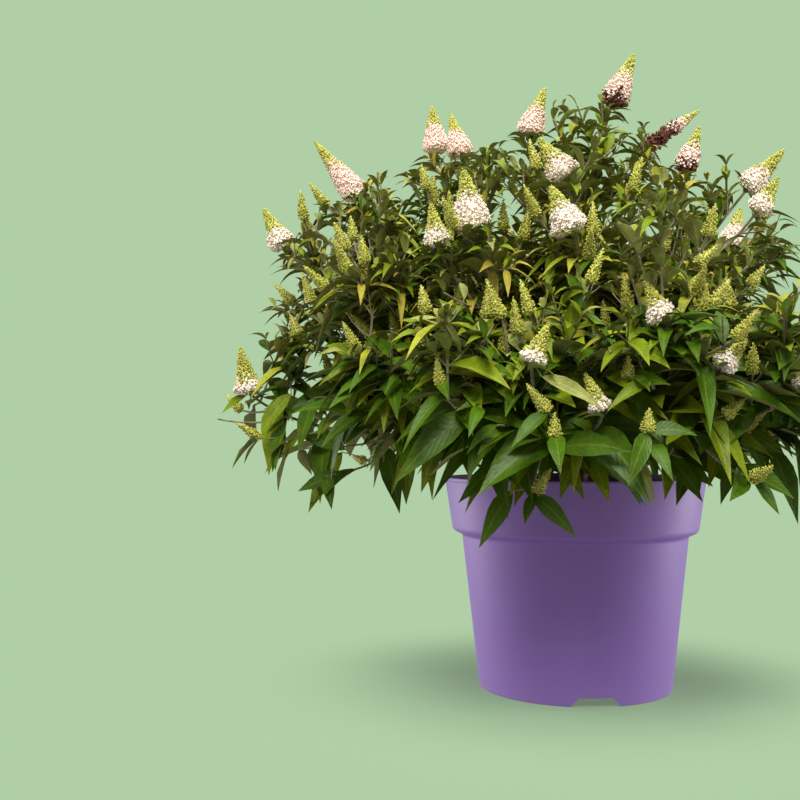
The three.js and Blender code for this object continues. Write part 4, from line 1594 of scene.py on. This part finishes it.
chart = shape_object("leaf_chart", leaf_chart())
print(f"a leaf has {triangles(chart.data)} triangles")

# %% Build the tree that unfolds leaves on their seats
tree, given, finish_tree = new_tree(
    "leaves on their seats",
    Chart="shape",
    Slimness=1.1,
    Thickness=0.02,
    Wave=0.05,
    Deep="finish",
    Green="finish",
    Bright="finish",
    Bronzed="finish",
    Underside="finish",
)
leaf_tree = tree
inputs = {"Object": given["Chart"]}
chart_geometry = geometry_node(tree, "GeometryNodeObjectInfo", inputs, output="Geometry")
inputs = {"Points": given["Geometry"], "Instance": chart_geometry}
charts = geometry_node(tree, "GeometryNodeInstanceOnPoints", inputs)
blades = geometry_node(tree, "GeometryNodeRealizeInstances", {0: charts})

blade = named(tree, "blade", "FLOAT_VECTOR")
along, across, under = blade.parts()
root = geometry_node(tree, "GeometryNodeInputPosition", {}) - blade
direction = named(tree, "direction", "FLOAT_VECTOR")
sideways = named(tree, "sideways", "FLOAT_VECTOR")
above = direction.vector_math("CROSS_PRODUCT", sideways)
length = named(tree, "length")
outline = (along**0.78 * math.pi).math("SINE").math("MAXIMUM", 0) ** given["Slimness"]
half_width = outline * named(tree, "width") / 2
twist = along * named(tree, "twist")
turned_side = sideways * twist.math("COSINE") + above * twist.math("SINE")
turned_above = above * twist.math("COSINE") - sideways * twist.math("SINE")
edge = across.math("ABSOLUTE")
wave = (along * 17 + named(tree, "twist") * 9 + across * 2).math("SINE") * given["Wave"] * edge
rise = half_width * (edge * named(tree, "fold") + wave) + under * length * given["Thickness"] * (1 - along)
sag = named(tree, "droop") * length * along * along / 2
place = root + direction * (length * along) + turned_side * (half_width * across) + turned_above * rise
place = place - vector_of(tree, 0, 0, sag)
blades = geometry_node(tree, "GeometryNodeSetPosition", {"Geometry": blades, "Position": place})
blades = geometry_node(tree, "GeometryNodeSetShadeSmooth", {"Geometry": blades})
tint = named(tree, "tint")
for k, label in enumerate(("Deep", "Green", "Bright", "Bronzed", "Underside")):
    is_tint = (tint - k).math("ABSOLUTE").math("LESS_THAN", 0.5)
    inputs = {"Geometry": blades, "Selection": is_tint, "Material": given[label]}
    blades = geometry_node(tree, "GeometryNodeSetMaterial", inputs)
is_under = under.math("LESS_THAN", -0.2)
inputs = {"Geometry": blades, "Selection": is_under, "Material": given["Underside"]}
finish_tree(geometry_node(tree, "GeometryNodeSetMaterial", inputs))
print("the leaf tree is ready")

# %% [markdown]
# A leaf's colour is a plain green in soft clouds, with a paler midrib and faint side veins. The veins
# come from the leaf's own chart: lines that leave the midrib and run forward to the edge. Between the
# veins the blade is slightly puckered, and some tips turn yellower or bronze. One recipe serves all
# tints and the underside, which is pale and matt.

# %% Finish the leaves
VEINS = 9
VEIN_SLANT = 2.6
SIDE_VEIN_SHARE = 0.12  # against the midrib
PUCKER = 0.0002
LEAF_COLORS = {
    # name, blade, veins, turning tip, roughness
    "Deep": ("deep_green_leaf", (64, 94, 10), (98, 118, 38), (84, 102, 10), 0.38),
    "Green": ("green_leaf", (108, 126, 14), (140, 150, 56), (138, 134, 26), 0.42),
    "Bright": ("bright_leaf", (152, 154, 44), (176, 176, 84), (188, 162, 50), 0.45),
    "Bronzed": ("bronzed_leaf", (152, 140, 44), (180, 162, 84), (190, 138, 44), 0.48),
    "Underside": ("felted_underside", (142, 146, 76), (166, 170, 104), (156, 150, 76), 0.8),
}


def leaf_finish(name, blade_color, vein_color, tip_color, roughness):
    blade_color, vein_color, tip_color = linear(*blade_color), linear(*vein_color), linear(*tip_color)
    material = new_finish(name, blade_color, roughness, Specular_IOR_Level=0.15)
    tree = material.node_tree
    along, across, under = attribute(tree, "blade").parts()
    edge = across.math("ABSOLUTE")
    midrib = 1 - edge.step(0.03, 0.16)
    comb = (along * VEINS - edge * VEIN_SLANT).math("PINGPONG", 0.5) * 2
    side_veins = 1 - comb.step(0.0, 0.22)
    veins = midrib.math("MAXIMUM", side_veins * SIDE_VEIN_SHARE)
    place = object_place(tree)
    broad = noise(tree, place, 55, 2).step(0.3, 0.7)
    small = noise(tree, place, 420, 2).step(0.3, 0.7)
    color = mixed(tree, broad * 0.65 + small * 0.35, shade(blade_color, 0.62), shade(blade_color, 1.3))
    color = mixed(tree, veins * 0.6, color, vein_color)
    turning = (along + edge * 0.25 + noise(tree, place, 120, 2) * 0.8).step(1.25, 1.85)
    color = mixed(tree, turning, color, tip_color)
    paint(material, color, height=comb.step(0, 0.9) * 0.4 + midrib * -0.6, depth=PUCKER)
    return material


LEAF_FINISHES = {label: leaf_finish(*colors) for label, colors in LEAF_COLORS.items()}
print(f"{len(LEAF_FINISHES)} leaf finishes")

# %% [markdown]
# A seat is a point with the leaf's directions and sizes as attributes. The leaves are split into a few
# pieces, so that none grows too large.

# %% Unfold the leaves
PIECE_LIMIT = 3600  # leaves in one piece
SEAT_UNITS = {"length": MM, "width": MM, "droop": 1, "twist": 1, "fold": 1, "tint": 1}


def seat_mesh(name, chosen):
    mesh = bpy.data.meshes.new(name)
    mesh.from_pydata([seat["root"] * MM for seat in chosen], [], [])
    for key in ("direction", "sideways"):
        values = [value for seat in chosen for value in seat[key]]
        mesh.attributes.new(key, "FLOAT_VECTOR", "POINT").data.foreach_set("vector", values)
    for key, unit in SEAT_UNITS.items():
        values = [seat[key] * unit for seat in chosen]
        mesh.attributes.new(key, "FLOAT", "POINT").data.foreach_set("value", values)
    return mesh


pieces = math.ceil(len(seats) / PIECE_LIMIT)
for k in range(pieces):
    chosen = seats[k * len(seats) // pieces:(k + 1) * len(seats) // pieces]
    seat_points = seat_mesh(f"leaf_seats_{k}", chosen)
    mesh = grown(f"leaves_{k}", leaf_tree, seat_points, Chart=chart, **LEAF_FINISHES)
    place_piece(f"leaves_{k + 1}", mesh, "foliage", *mass_names)
bpy.data.objects.remove(chart)

# %% [markdown]
# A flower of the butterfly bush is a narrow trumpet with four rounded lobes and an orange throat. A bud
# is a small club, and a spent flower a dry brown one. All three are tiny, so each is a closed mesh of a
# few faces that points along Z, with its outer end about at the origin, so that it can be set on the
# skin of a spike.

# %% Shape a flower, a bud and a spent flower
LOBE = 0.96
LOBE_HALF_ANGLE = 26
THROAT = 0.34
THROAT_DEPTH = 0.25
TUBE = 5.0
FLOWER_TOP, FLOWER_THROAT, FLOWER_TUBE = 0, 1, 2
CLUB_SIDES = 4


def polar(radius, angle, height):
    angle = math.radians(angle)
    return Vector((radius * math.cos(angle), radius * math.sin(angle), height)) * MM


def flower_mesh(finishes):
    """A throat, four lobes with two corners each, and a tube that tapers to a point."""
    vertices = [polar(0, 0, -TUBE)]
    for k in range(4):
        vertices.append(polar(THROAT, 90 * k + 45, -THROAT_DEPTH))
        vertices.append(polar(LOBE, 90 * k - LOBE_HALF_ANGLE, 0))
        vertices.append(polar(LOBE, 90 * k + LOBE_HALF_ANGLE, 0))
    throats, lefts, rights = (range(first, 13, 3) for first in (1, 2, 3))
    faces = [list(throats)]
    kinds = [FLOWER_THROAT]
    for k in range(4):
        before, after = (k - 1) % 4, (k + 1) % 4
        faces.append([throats[before], lefts[k], rights[k], throats[k]])
        faces.append([throats[k], rights[k], lefts[after]])
        faces += [[0, rights[k], lefts[k]], [0, lefts[after], rights[k]]]
        kinds += [FLOWER_TOP, FLOWER_TOP, FLOWER_TUBE, FLOWER_TUBE]
    mesh = bpy.data.meshes.new("flower")
    mesh.from_pydata(vertices, [], faces)
    for finish in finishes:
        mesh.materials.append(finish)
    mesh.polygons.foreach_set("material_index", kinds)
    return mesh


def club_mesh(name, finish, radius, top, waist, tail):
    """A small closed club: a point, a widest ring and a tail."""
    vertices = [polar(0, 0, top), polar(0, 0, tail)]
    vertices += [polar(radius, 360 / CLUB_SIDES * k, waist) for k in range(CLUB_SIDES)]
    faces = []
    for k in range(CLUB_SIDES):
        here, after = 2 + k, 2 + (k + 1) % CLUB_SIDES
        faces += [[0, here, after], [1, after, here]]
    mesh = bpy.data.meshes.new(name)
    mesh.from_pydata(vertices, [], faces)
    mesh.shade_smooth()
    mesh.materials.append(finish)
    return mesh


print("flowers can be shaped")

# %% [markdown]
# The throat has one plain colour, and the other finishes waver between two tones. The highest spikes
# opened first, and their flowers have turned from cream white to blush, so the blush sets in with
# height.

# %% Finish the flowers
BLUSH = linear(252, 216, 204)
BLUSH_FROM = 0.43
BLUSH_FADE = 0.03
BLUSH_SHARE = 0.5

blush_white = new_finish("blush_white", linear(248, 238, 228), 0.6)
orange_throat = new_finish("orange_throat", linear(234, 160, 96), 0.6)
pale_tube = new_finish("pale_tube", linear(226, 206, 186), 0.6)
yellow_green_bud = new_finish("yellow_green_bud", linear(178, 178, 84), 0.6)
brown_spent = new_finish("brown_spent", linear(104, 66, 50), 0.8)
for finish, first, second in (
    (blush_white, linear(255, 250, 236), linear(250, 240, 222)),
    (pale_tube, linear(252, 240, 222), linear(242, 226, 204)),
    (yellow_green_bud, linear(202, 199, 92), linear(162, 163, 58)),
    (brown_spent, linear(128, 70, 50), linear(66, 30, 24)),
):
    tree = finish.node_tree
    color = mixed(tree, noise(tree, object_place(tree), 260, 2).step(0.3, 0.7), first, second)
    if finish in (blush_white, pale_tube):
        height = object_place(tree).parts()[2]
        blush = height.step(BLUSH_FROM, BLUSH_FROM + BLUSH_FADE) * BLUSH_SHARE
        color = mixed(tree, blush, color, BLUSH)
    paint(finish, color)

flower = shape_object("flower", flower_mesh([blush_white, orange_throat, pale_tube]))
bud = shape_object("bud", club_mesh("bud", yellow_green_bud, radius=1.2, top=1.4, waist=-0.1, tail=-3.0))
spent = shape_object("spent", club_mesh("spent", brown_spent, radius=1.0, top=0.9, waist=-0.5, tail=-4.5))
print(f"a flower has {triangles(flower.data)} triangles, a bud {triangles(bud.data)}")

# %% [markdown]
# A spike is a cone of many small flowers, set as tightly as they go. The golden angle does that: each
# flower is turned by it from the one before, and the height grows so that every flower gets about the
# same area of the cone. The tree makes the points, chooses by height which carry a spent flower, an open
# flower or a bud, and points them outwards, ever more upwards towards the tip. Many spent flowers have
# fallen, and the skin is ragged there.

# %% Start the tree of a flower spike
GOLDEN_ANGLE = math.pi * (3 - math.sqrt(5))
tree, given, finish_tree = new_tree(
    "flower spike",
    Count=200,
    Length=0.05,
    Girth=0.014,
    Spent_Below=0.1,
    Open_Below=0.65,
    Crowding=0.66,
    Ruffle=0.13,
    Seed=1,
    Flower="shape",
    Bud="shape",
    Spent="shape",
    Bud_Finish="finish",
    Body_Finish="finish",
    Spent_Finish="finish",
)
spike_tree = tree
FALLEN_SHARE = 0.45  # of the spent flowers
RAGGED = 0.35  # how much more ragged the skin is where flowers are spent


def random_between(low, high, salt):
    inputs = {2: low, 3: high, "Seed": given["Seed"] + salt}
    return geometry_node(tree, "FunctionNodeRandomValue", inputs, output=1, data_type="FLOAT")


def skin_radius(up_share):
    """A cone with round flanks and a round foot: widest where flowers are open, slim where spent."""
    cone = (1.02 - up_share).math("MAXIMUM", 0) ** 0.72 * up_share.step(-0.14, 0.14)
    past_open = up_share.step(given["Open Below"] - 0.2, given["Open Below"] + 0.1)
    before_open = 1 - up_share.step(given["Spent Below"] - 0.16, given["Spent Below"] + 0.1)
    return cone * (1.02 - past_open * 0.26 - before_open * 0.4) * given["Girth"]


points = geometry_node(tree, "GeometryNodePoints", {"Count": given["Count"]})
number = geometry_node(tree, "GeometryNodeInputIndex", {})
share = (number + 0.5) / given["Count"]
up_share = 1 - (1 - share) ** given["Crowding"]
angle = number * GOLDEN_ANGLE + random_between(-0.2, 0.2, 1)
past_flowering = 1 - up_share.step(given["Spent Below"] - 0.1, given["Spent Below"] + 0.1)
raggedness = given["Ruffle"] + past_flowering * RAGGED
radius = skin_radius(up_share) * (1 + random_between(-1.0, 1.0, 2) * raggedness)
cosine, sine = angle.math("COSINE"), angle.math("SINE")
height = up_share * given["Length"] + random_between(-0.0008, 0.0008, 3)
place = vector_of(tree, radius * cosine, radius * sine, height)
points = geometry_node(tree, "GeometryNodeSetPosition", {"Geometry": points, "Position": place})
print("the points of a spike are ready")

# %% Set flowers, buds and spent flowers on the points
pointing = vector_of(tree, cosine, sine, up_share * 1.5 + random_between(-0.25, 0.45, 4))
aligned = geometry_node(tree, "FunctionNodeAlignRotationToVector", {"Vector": pointing}, axis="Z")
inputs = {"Angle": random_between(0.0, FULL_TURN, 5)}
spin = geometry_node(tree, "FunctionNodeAxisAngleToRotation", inputs)
inputs = {"Rotation": aligned, "Rotate By": spin}
rotation = geometry_node(tree, "FunctionNodeRotateRotation", inputs, rotation_space="LOCAL")
stage_of_life = up_share + random_between(-0.15, 0.15, 6)
is_spent = stage_of_life.math("LESS_THAN", given["Spent Below"])
is_kept = random_between(0.0, 1.0, 10).math("GREATER_THAN", FALLEN_SHARE)
is_bud = stage_of_life.math("GREATER_THAN", given["Open Below"])
is_open = (1 - is_spent) * (1 - is_bud)
bud_size = (stage_of_life.step(given["Open Below"], 1.0) * -0.45 + 1.0) * random_between(0.85, 1.15, 7)
kinds = []
for shape, selection, size in (
    ("Flower", is_open, random_between(0.8, 1.12, 8)),
    ("Bud", is_bud, bud_size),
    ("Spent", is_spent * is_kept, random_between(0.7, 1.7, 9)),
):
    one = geometry_node(tree, "GeometryNodeObjectInfo", {"Object": given[shape]}, output="Geometry")
    inputs = {"Points": points, "Selection": selection, "Instance": one, "Rotation": rotation}
    kinds.append(geometry_node(tree, "GeometryNodeInstanceOnPoints", {**inputs, "Scale": size}))
real = geometry_node(tree, "GeometryNodeRealizeInstances", {0: joined(tree, *kinds)})
print(f"{len(kinds)} kinds of flowers")

# %% [markdown]
# Between the flowers of a real spike you look onto more flowers, not through to the other side. A solid
# body inside the skin does that here: brown where flowers are spent, pale where they are open, and the
# colour of buds above.

# %% Fill the spike and end its tree
BODY_SHARE = 0.74  # the body's radius against the skin's
inputs = {"Vertices": 10, "Side Segments": 8, "Radius": 1.0, "Depth": given["Length"]}
body = geometry_node(tree, "GeometryNodeMeshCylinder", inputs)
x, y, z = geometry_node(tree, "GeometryNodeInputPosition", {}).parts()
body_share = z / given["Length"] + 0.5
body_radius = skin_radius(body_share) * BODY_SHARE
place = vector_of(tree, x * body_radius, y * body_radius, body_share * given["Length"] * 0.98)
body = geometry_node(tree, "GeometryNodeSetPosition", {"Geometry": body, "Position": place})
body = geometry_node(tree, "GeometryNodeSetShadeSmooth", {"Geometry": body})
height = geometry_node(tree, "GeometryNodeInputPosition", {}).parts()[2]
for label, top in (("Bud Finish", None), ("Body Finish", "Open Below"), ("Spent Finish", "Spent Below")):
    inputs = {"Geometry": body, "Material": given[label]}
    if top:
        inputs["Selection"] = height.math("LESS_THAN", given["Length"] * given[top])
    body = geometry_node(tree, "GeometryNodeSetMaterial", inputs)
finish_tree(joined(tree, real, body))
print("the spike tree is ready")

# %% [markdown]
# Each spike runs the tree with its own size, stage and seed, and the result is turned from upright to
# the direction of the spike and moved to its foot. The number of flowers follows the area of the cone.
# The large spikes are joined into pieces of a dozen at most, and the small ones in bud into two more.

# %% Set the flower spikes
STAGES = {
    # the share of the spike below which the flowers are spent, and below which they are open
    BUDS: (-1.0, -1.0),
    FIRST: (-1.0, 0.3),
    HALF: (-1.0, 0.46),
    FULL: (-1.0, 0.6),
    FADING: (0.2, 0.64),
    SPENT: (0.52, 0.78),
}
FLOWER_PITCH = 1.42  # from one flower to the next
BUD_PITCH = 1.9
CONE_AREA = 0.8  # the area that flowers fill, against the skin of a plain cone of the same size
FLOWER_CROWDING = 0.66  # 0.5 deals the flowers out evenly on a plain cone, more puts them higher
BUD_CROWDING = 0.55
SPIKE_LIMIT = 12  # large spikes in one piece

empty_mesh = bpy.data.meshes.new("spike_start")


def spike_mesh(index, foot, direction, length, girth, stage):
    pitch = BUD_PITCH if stage == BUDS else FLOWER_PITCH
    count = int(math.pi * girth * length * CONE_AREA / pitch**2)
    spent_below, open_below = STAGES[stage]
    mesh = grown(
        f"spike_{index}",
        spike_tree,
        empty_mesh,
        Count=count,
        Length=length * MM,
        Girth=girth * MM,
        Crowding=BUD_CROWDING if stage == BUDS else FLOWER_CROWDING,
        Spent_Below=spent_below,
        Open_Below=open_below,
        Seed=index,
        Flower=flower,
        Bud=bud,
        Spent=spent,
        Bud_Finish=yellow_green_bud,
        Body_Finish=pale_tube,
        Spent_Finish=brown_spent,
    )
    turn = UP.rotation_difference(direction).to_matrix().to_4x4()
    mesh.transform(Matrix.Translation(foot * MM) @ turn)
    return mesh


def joined_piece(name, meshes, slot, *nodes):
    """Joins meshes into one, with each finish in one slot."""
    shape = bmesh.new()
    finishes = []
    for mesh in meshes:
        start = len(shape.faces)
        shape.from_mesh(mesh)
        shape.faces.ensure_lookup_table()
        slots = []
        for finish in mesh.materials:
            if finish not in finishes:
                finishes.append(finish)
            slots.append(finishes.index(finish))
        for face in shape.faces[start:]:
            face.material_index = slots[face.material_index]
    mesh = bpy.data.meshes.new(name)
    shape.to_mesh(mesh)
    shape.free()
    for finish in finishes:
        mesh.materials.append(finish)
    return place_piece(name, mesh, slot, *nodes)


large = [(k, spike) for k, spike in enumerate(spikes) if spike[4] != BUDS]
small = [(k, spike) for k, spike in enumerate(spikes) if spike[4] == BUDS]
groups = [large[k:k + SPIKE_LIMIT] for k in range(0, len(large), SPIKE_LIMIT)]
for k, group in enumerate(groups):
    meshes = [spike_mesh(index, *spike) for index, spike in group]
    joined_piece(f"flower_spikes_{k + 1}", meshes, "foliage", *mass_names)
for k, group in enumerate((small[::2], small[1::2])):
    meshes = [spike_mesh(index, *spike) for index, spike in group]
    joined_piece(f"bud_spikes_{k + 1}", meshes, "foliage", *mass_names)
for shape in (flower, bud, spent):
    bpy.data.objects.remove(shape)

# %% [markdown]
# The bush stands on a pale green floor that curves up all round into a wall, so that there is no
# horizon from any side. Like a lit backdrop it gives off its own even light. Only close to the pot does
# the light that falls on it count, and so a soft shadow shows there. The floor throws no light back,
# which would tint the whole crown green.

# %% Build the floor and the wall
FLOOR_RADIUS = 2.6
WALL_CURVE = 1.2
WALL_TALL = 3.2
WALL_STEPS = 12
FLOOR_SIDES = 96

flat_radius = FLOOR_RADIUS - WALL_CURVE
backdrop_profile = [(0, 0), (400, 0), (900, 0), (1000 * flat_radius, 0)]
for step in range(1, WALL_STEPS + 1):
    angle = math.pi / 2 * step / WALL_STEPS
    radius = flat_radius + WALL_CURVE * math.sin(angle)
    backdrop_profile.append((radius * 1000, (WALL_CURVE - WALL_CURVE * math.cos(angle)) * 1000))
backdrop_profile.append((FLOOR_RADIUS * 1000, WALL_TALL * 1000))
backdrop_mesh = turned_mesh("pale_floor", backdrop_profile, FLOOR_SIDES)
backdrop_mesh.flip_normals()
backdrop_mesh.shade_smooth()
print(f"the floor is {2 * FLOOR_RADIUS:.1f} m across")

# %% Finish the floor
PALE_GREEN = linear(176, 207, 167)
SHADED_SHARE = 0.7  # how much of the floor's light a shadow can take away
FLOOR_LIGHT = 1.45  # the light that falls on the floor
SHADED_RADII = (0.09, 0.34)  # in metres, where a shadow is fullest and where it ends
SHADE_FADE = 1.4

pale_floor = new_finish("pale_floor", PALE_GREEN, 1.0, Specular_IOR_Level=0.0, Emission_Strength=1.0)
tree = pale_floor.node_tree
x, y, z = object_place(tree).parts()
near = (1 - ((x * x + y * y).math("SQRT") + z).step(*SHADED_RADII)) ** SHADE_FADE
reflected = mixed(tree, near, (0, 0, 0, 1), shade(PALE_GREEN, SHADED_SHARE / FLOOR_LIGHT))
own = mixed(tree, near, PALE_GREEN, shade(PALE_GREEN, 1 - SHADED_SHARE))
tree.links.new(reflected.socket, tree.nodes["Principled BSDF"].inputs["Base Color"])
tree.links.new(own.socket, tree.nodes["Principled BSDF"].inputs["Emission Color"])
backdrop_mesh.materials.append(pale_floor)
backdrop = bpy.data.objects.new("pale_floor", backdrop_mesh)
backdrop.visible_diffuse = False
backdrop.visible_glossy = False
scene_objects.link(backdrop)
print(f"a shadow ends {SHADED_RADII[1]} m from the pot's axis")

# %% [markdown]
# Two low softboxes stand left and right of the pot and a little behind it, as narrow beams. They give
# the violet its bright sides and leave its middle dark, which is what makes a round pot look round. A
# wide soft light from above lights the crown, another in front and above lights what faces the camera,
# and the world adds a weak even fill.


# %% Light the scene
WORLD_LIGHT = 0.39


def softbox(name, place, target, width, height, power, spread=180):
    data = bpy.data.lights.new(name, "AREA")
    data.shape = "RECTANGLE"
    data.size = width
    data.size_y = height
    data.energy = power
    data.spread = math.radians(spread)
    light = bpy.data.objects.new(name, data)
    light.location = place
    light.rotation_euler = (Vector(target) - Vector(place)).to_track_quat("-Z", "Y").to_euler()
    light.visible_camera = False
    scene_objects.link(light)


for name, side in (("left_softbox", -1.3), ("right_softbox", 1.3)):
    softbox(name, (side, 0.4, 0.08), (0, 0, 0.08), width=0.7, height=0.35, power=2.2, spread=60)
softbox("top_softbox", (0.2, -0.45, 2.1), (0, 0, 0.3), width=1.0, height=1.0, power=30)
softbox("front_softbox", (0.0, -1.4, 1.65), (0, 0, 0.36), width=0.9, height=0.6, power=36)

world = bpy.data.worlds.new("soft_room")
world.use_nodes = True
background = world.node_tree.nodes["Background"].inputs
background["Color"].default_value = (1, 1, 1, 1)
background["Strength"].default_value = WORLD_LIGHT
bpy.context.scene.world = world
bpy.context.scene.view_settings.view_transform = "Standard"
print("four softboxes and a weak fill")

# %% [markdown]
# Last, the model's box is printed.

# %% Print the model's box
print("model box ", [round(value * 1000) for value in (*cad_low, *cad_high)])
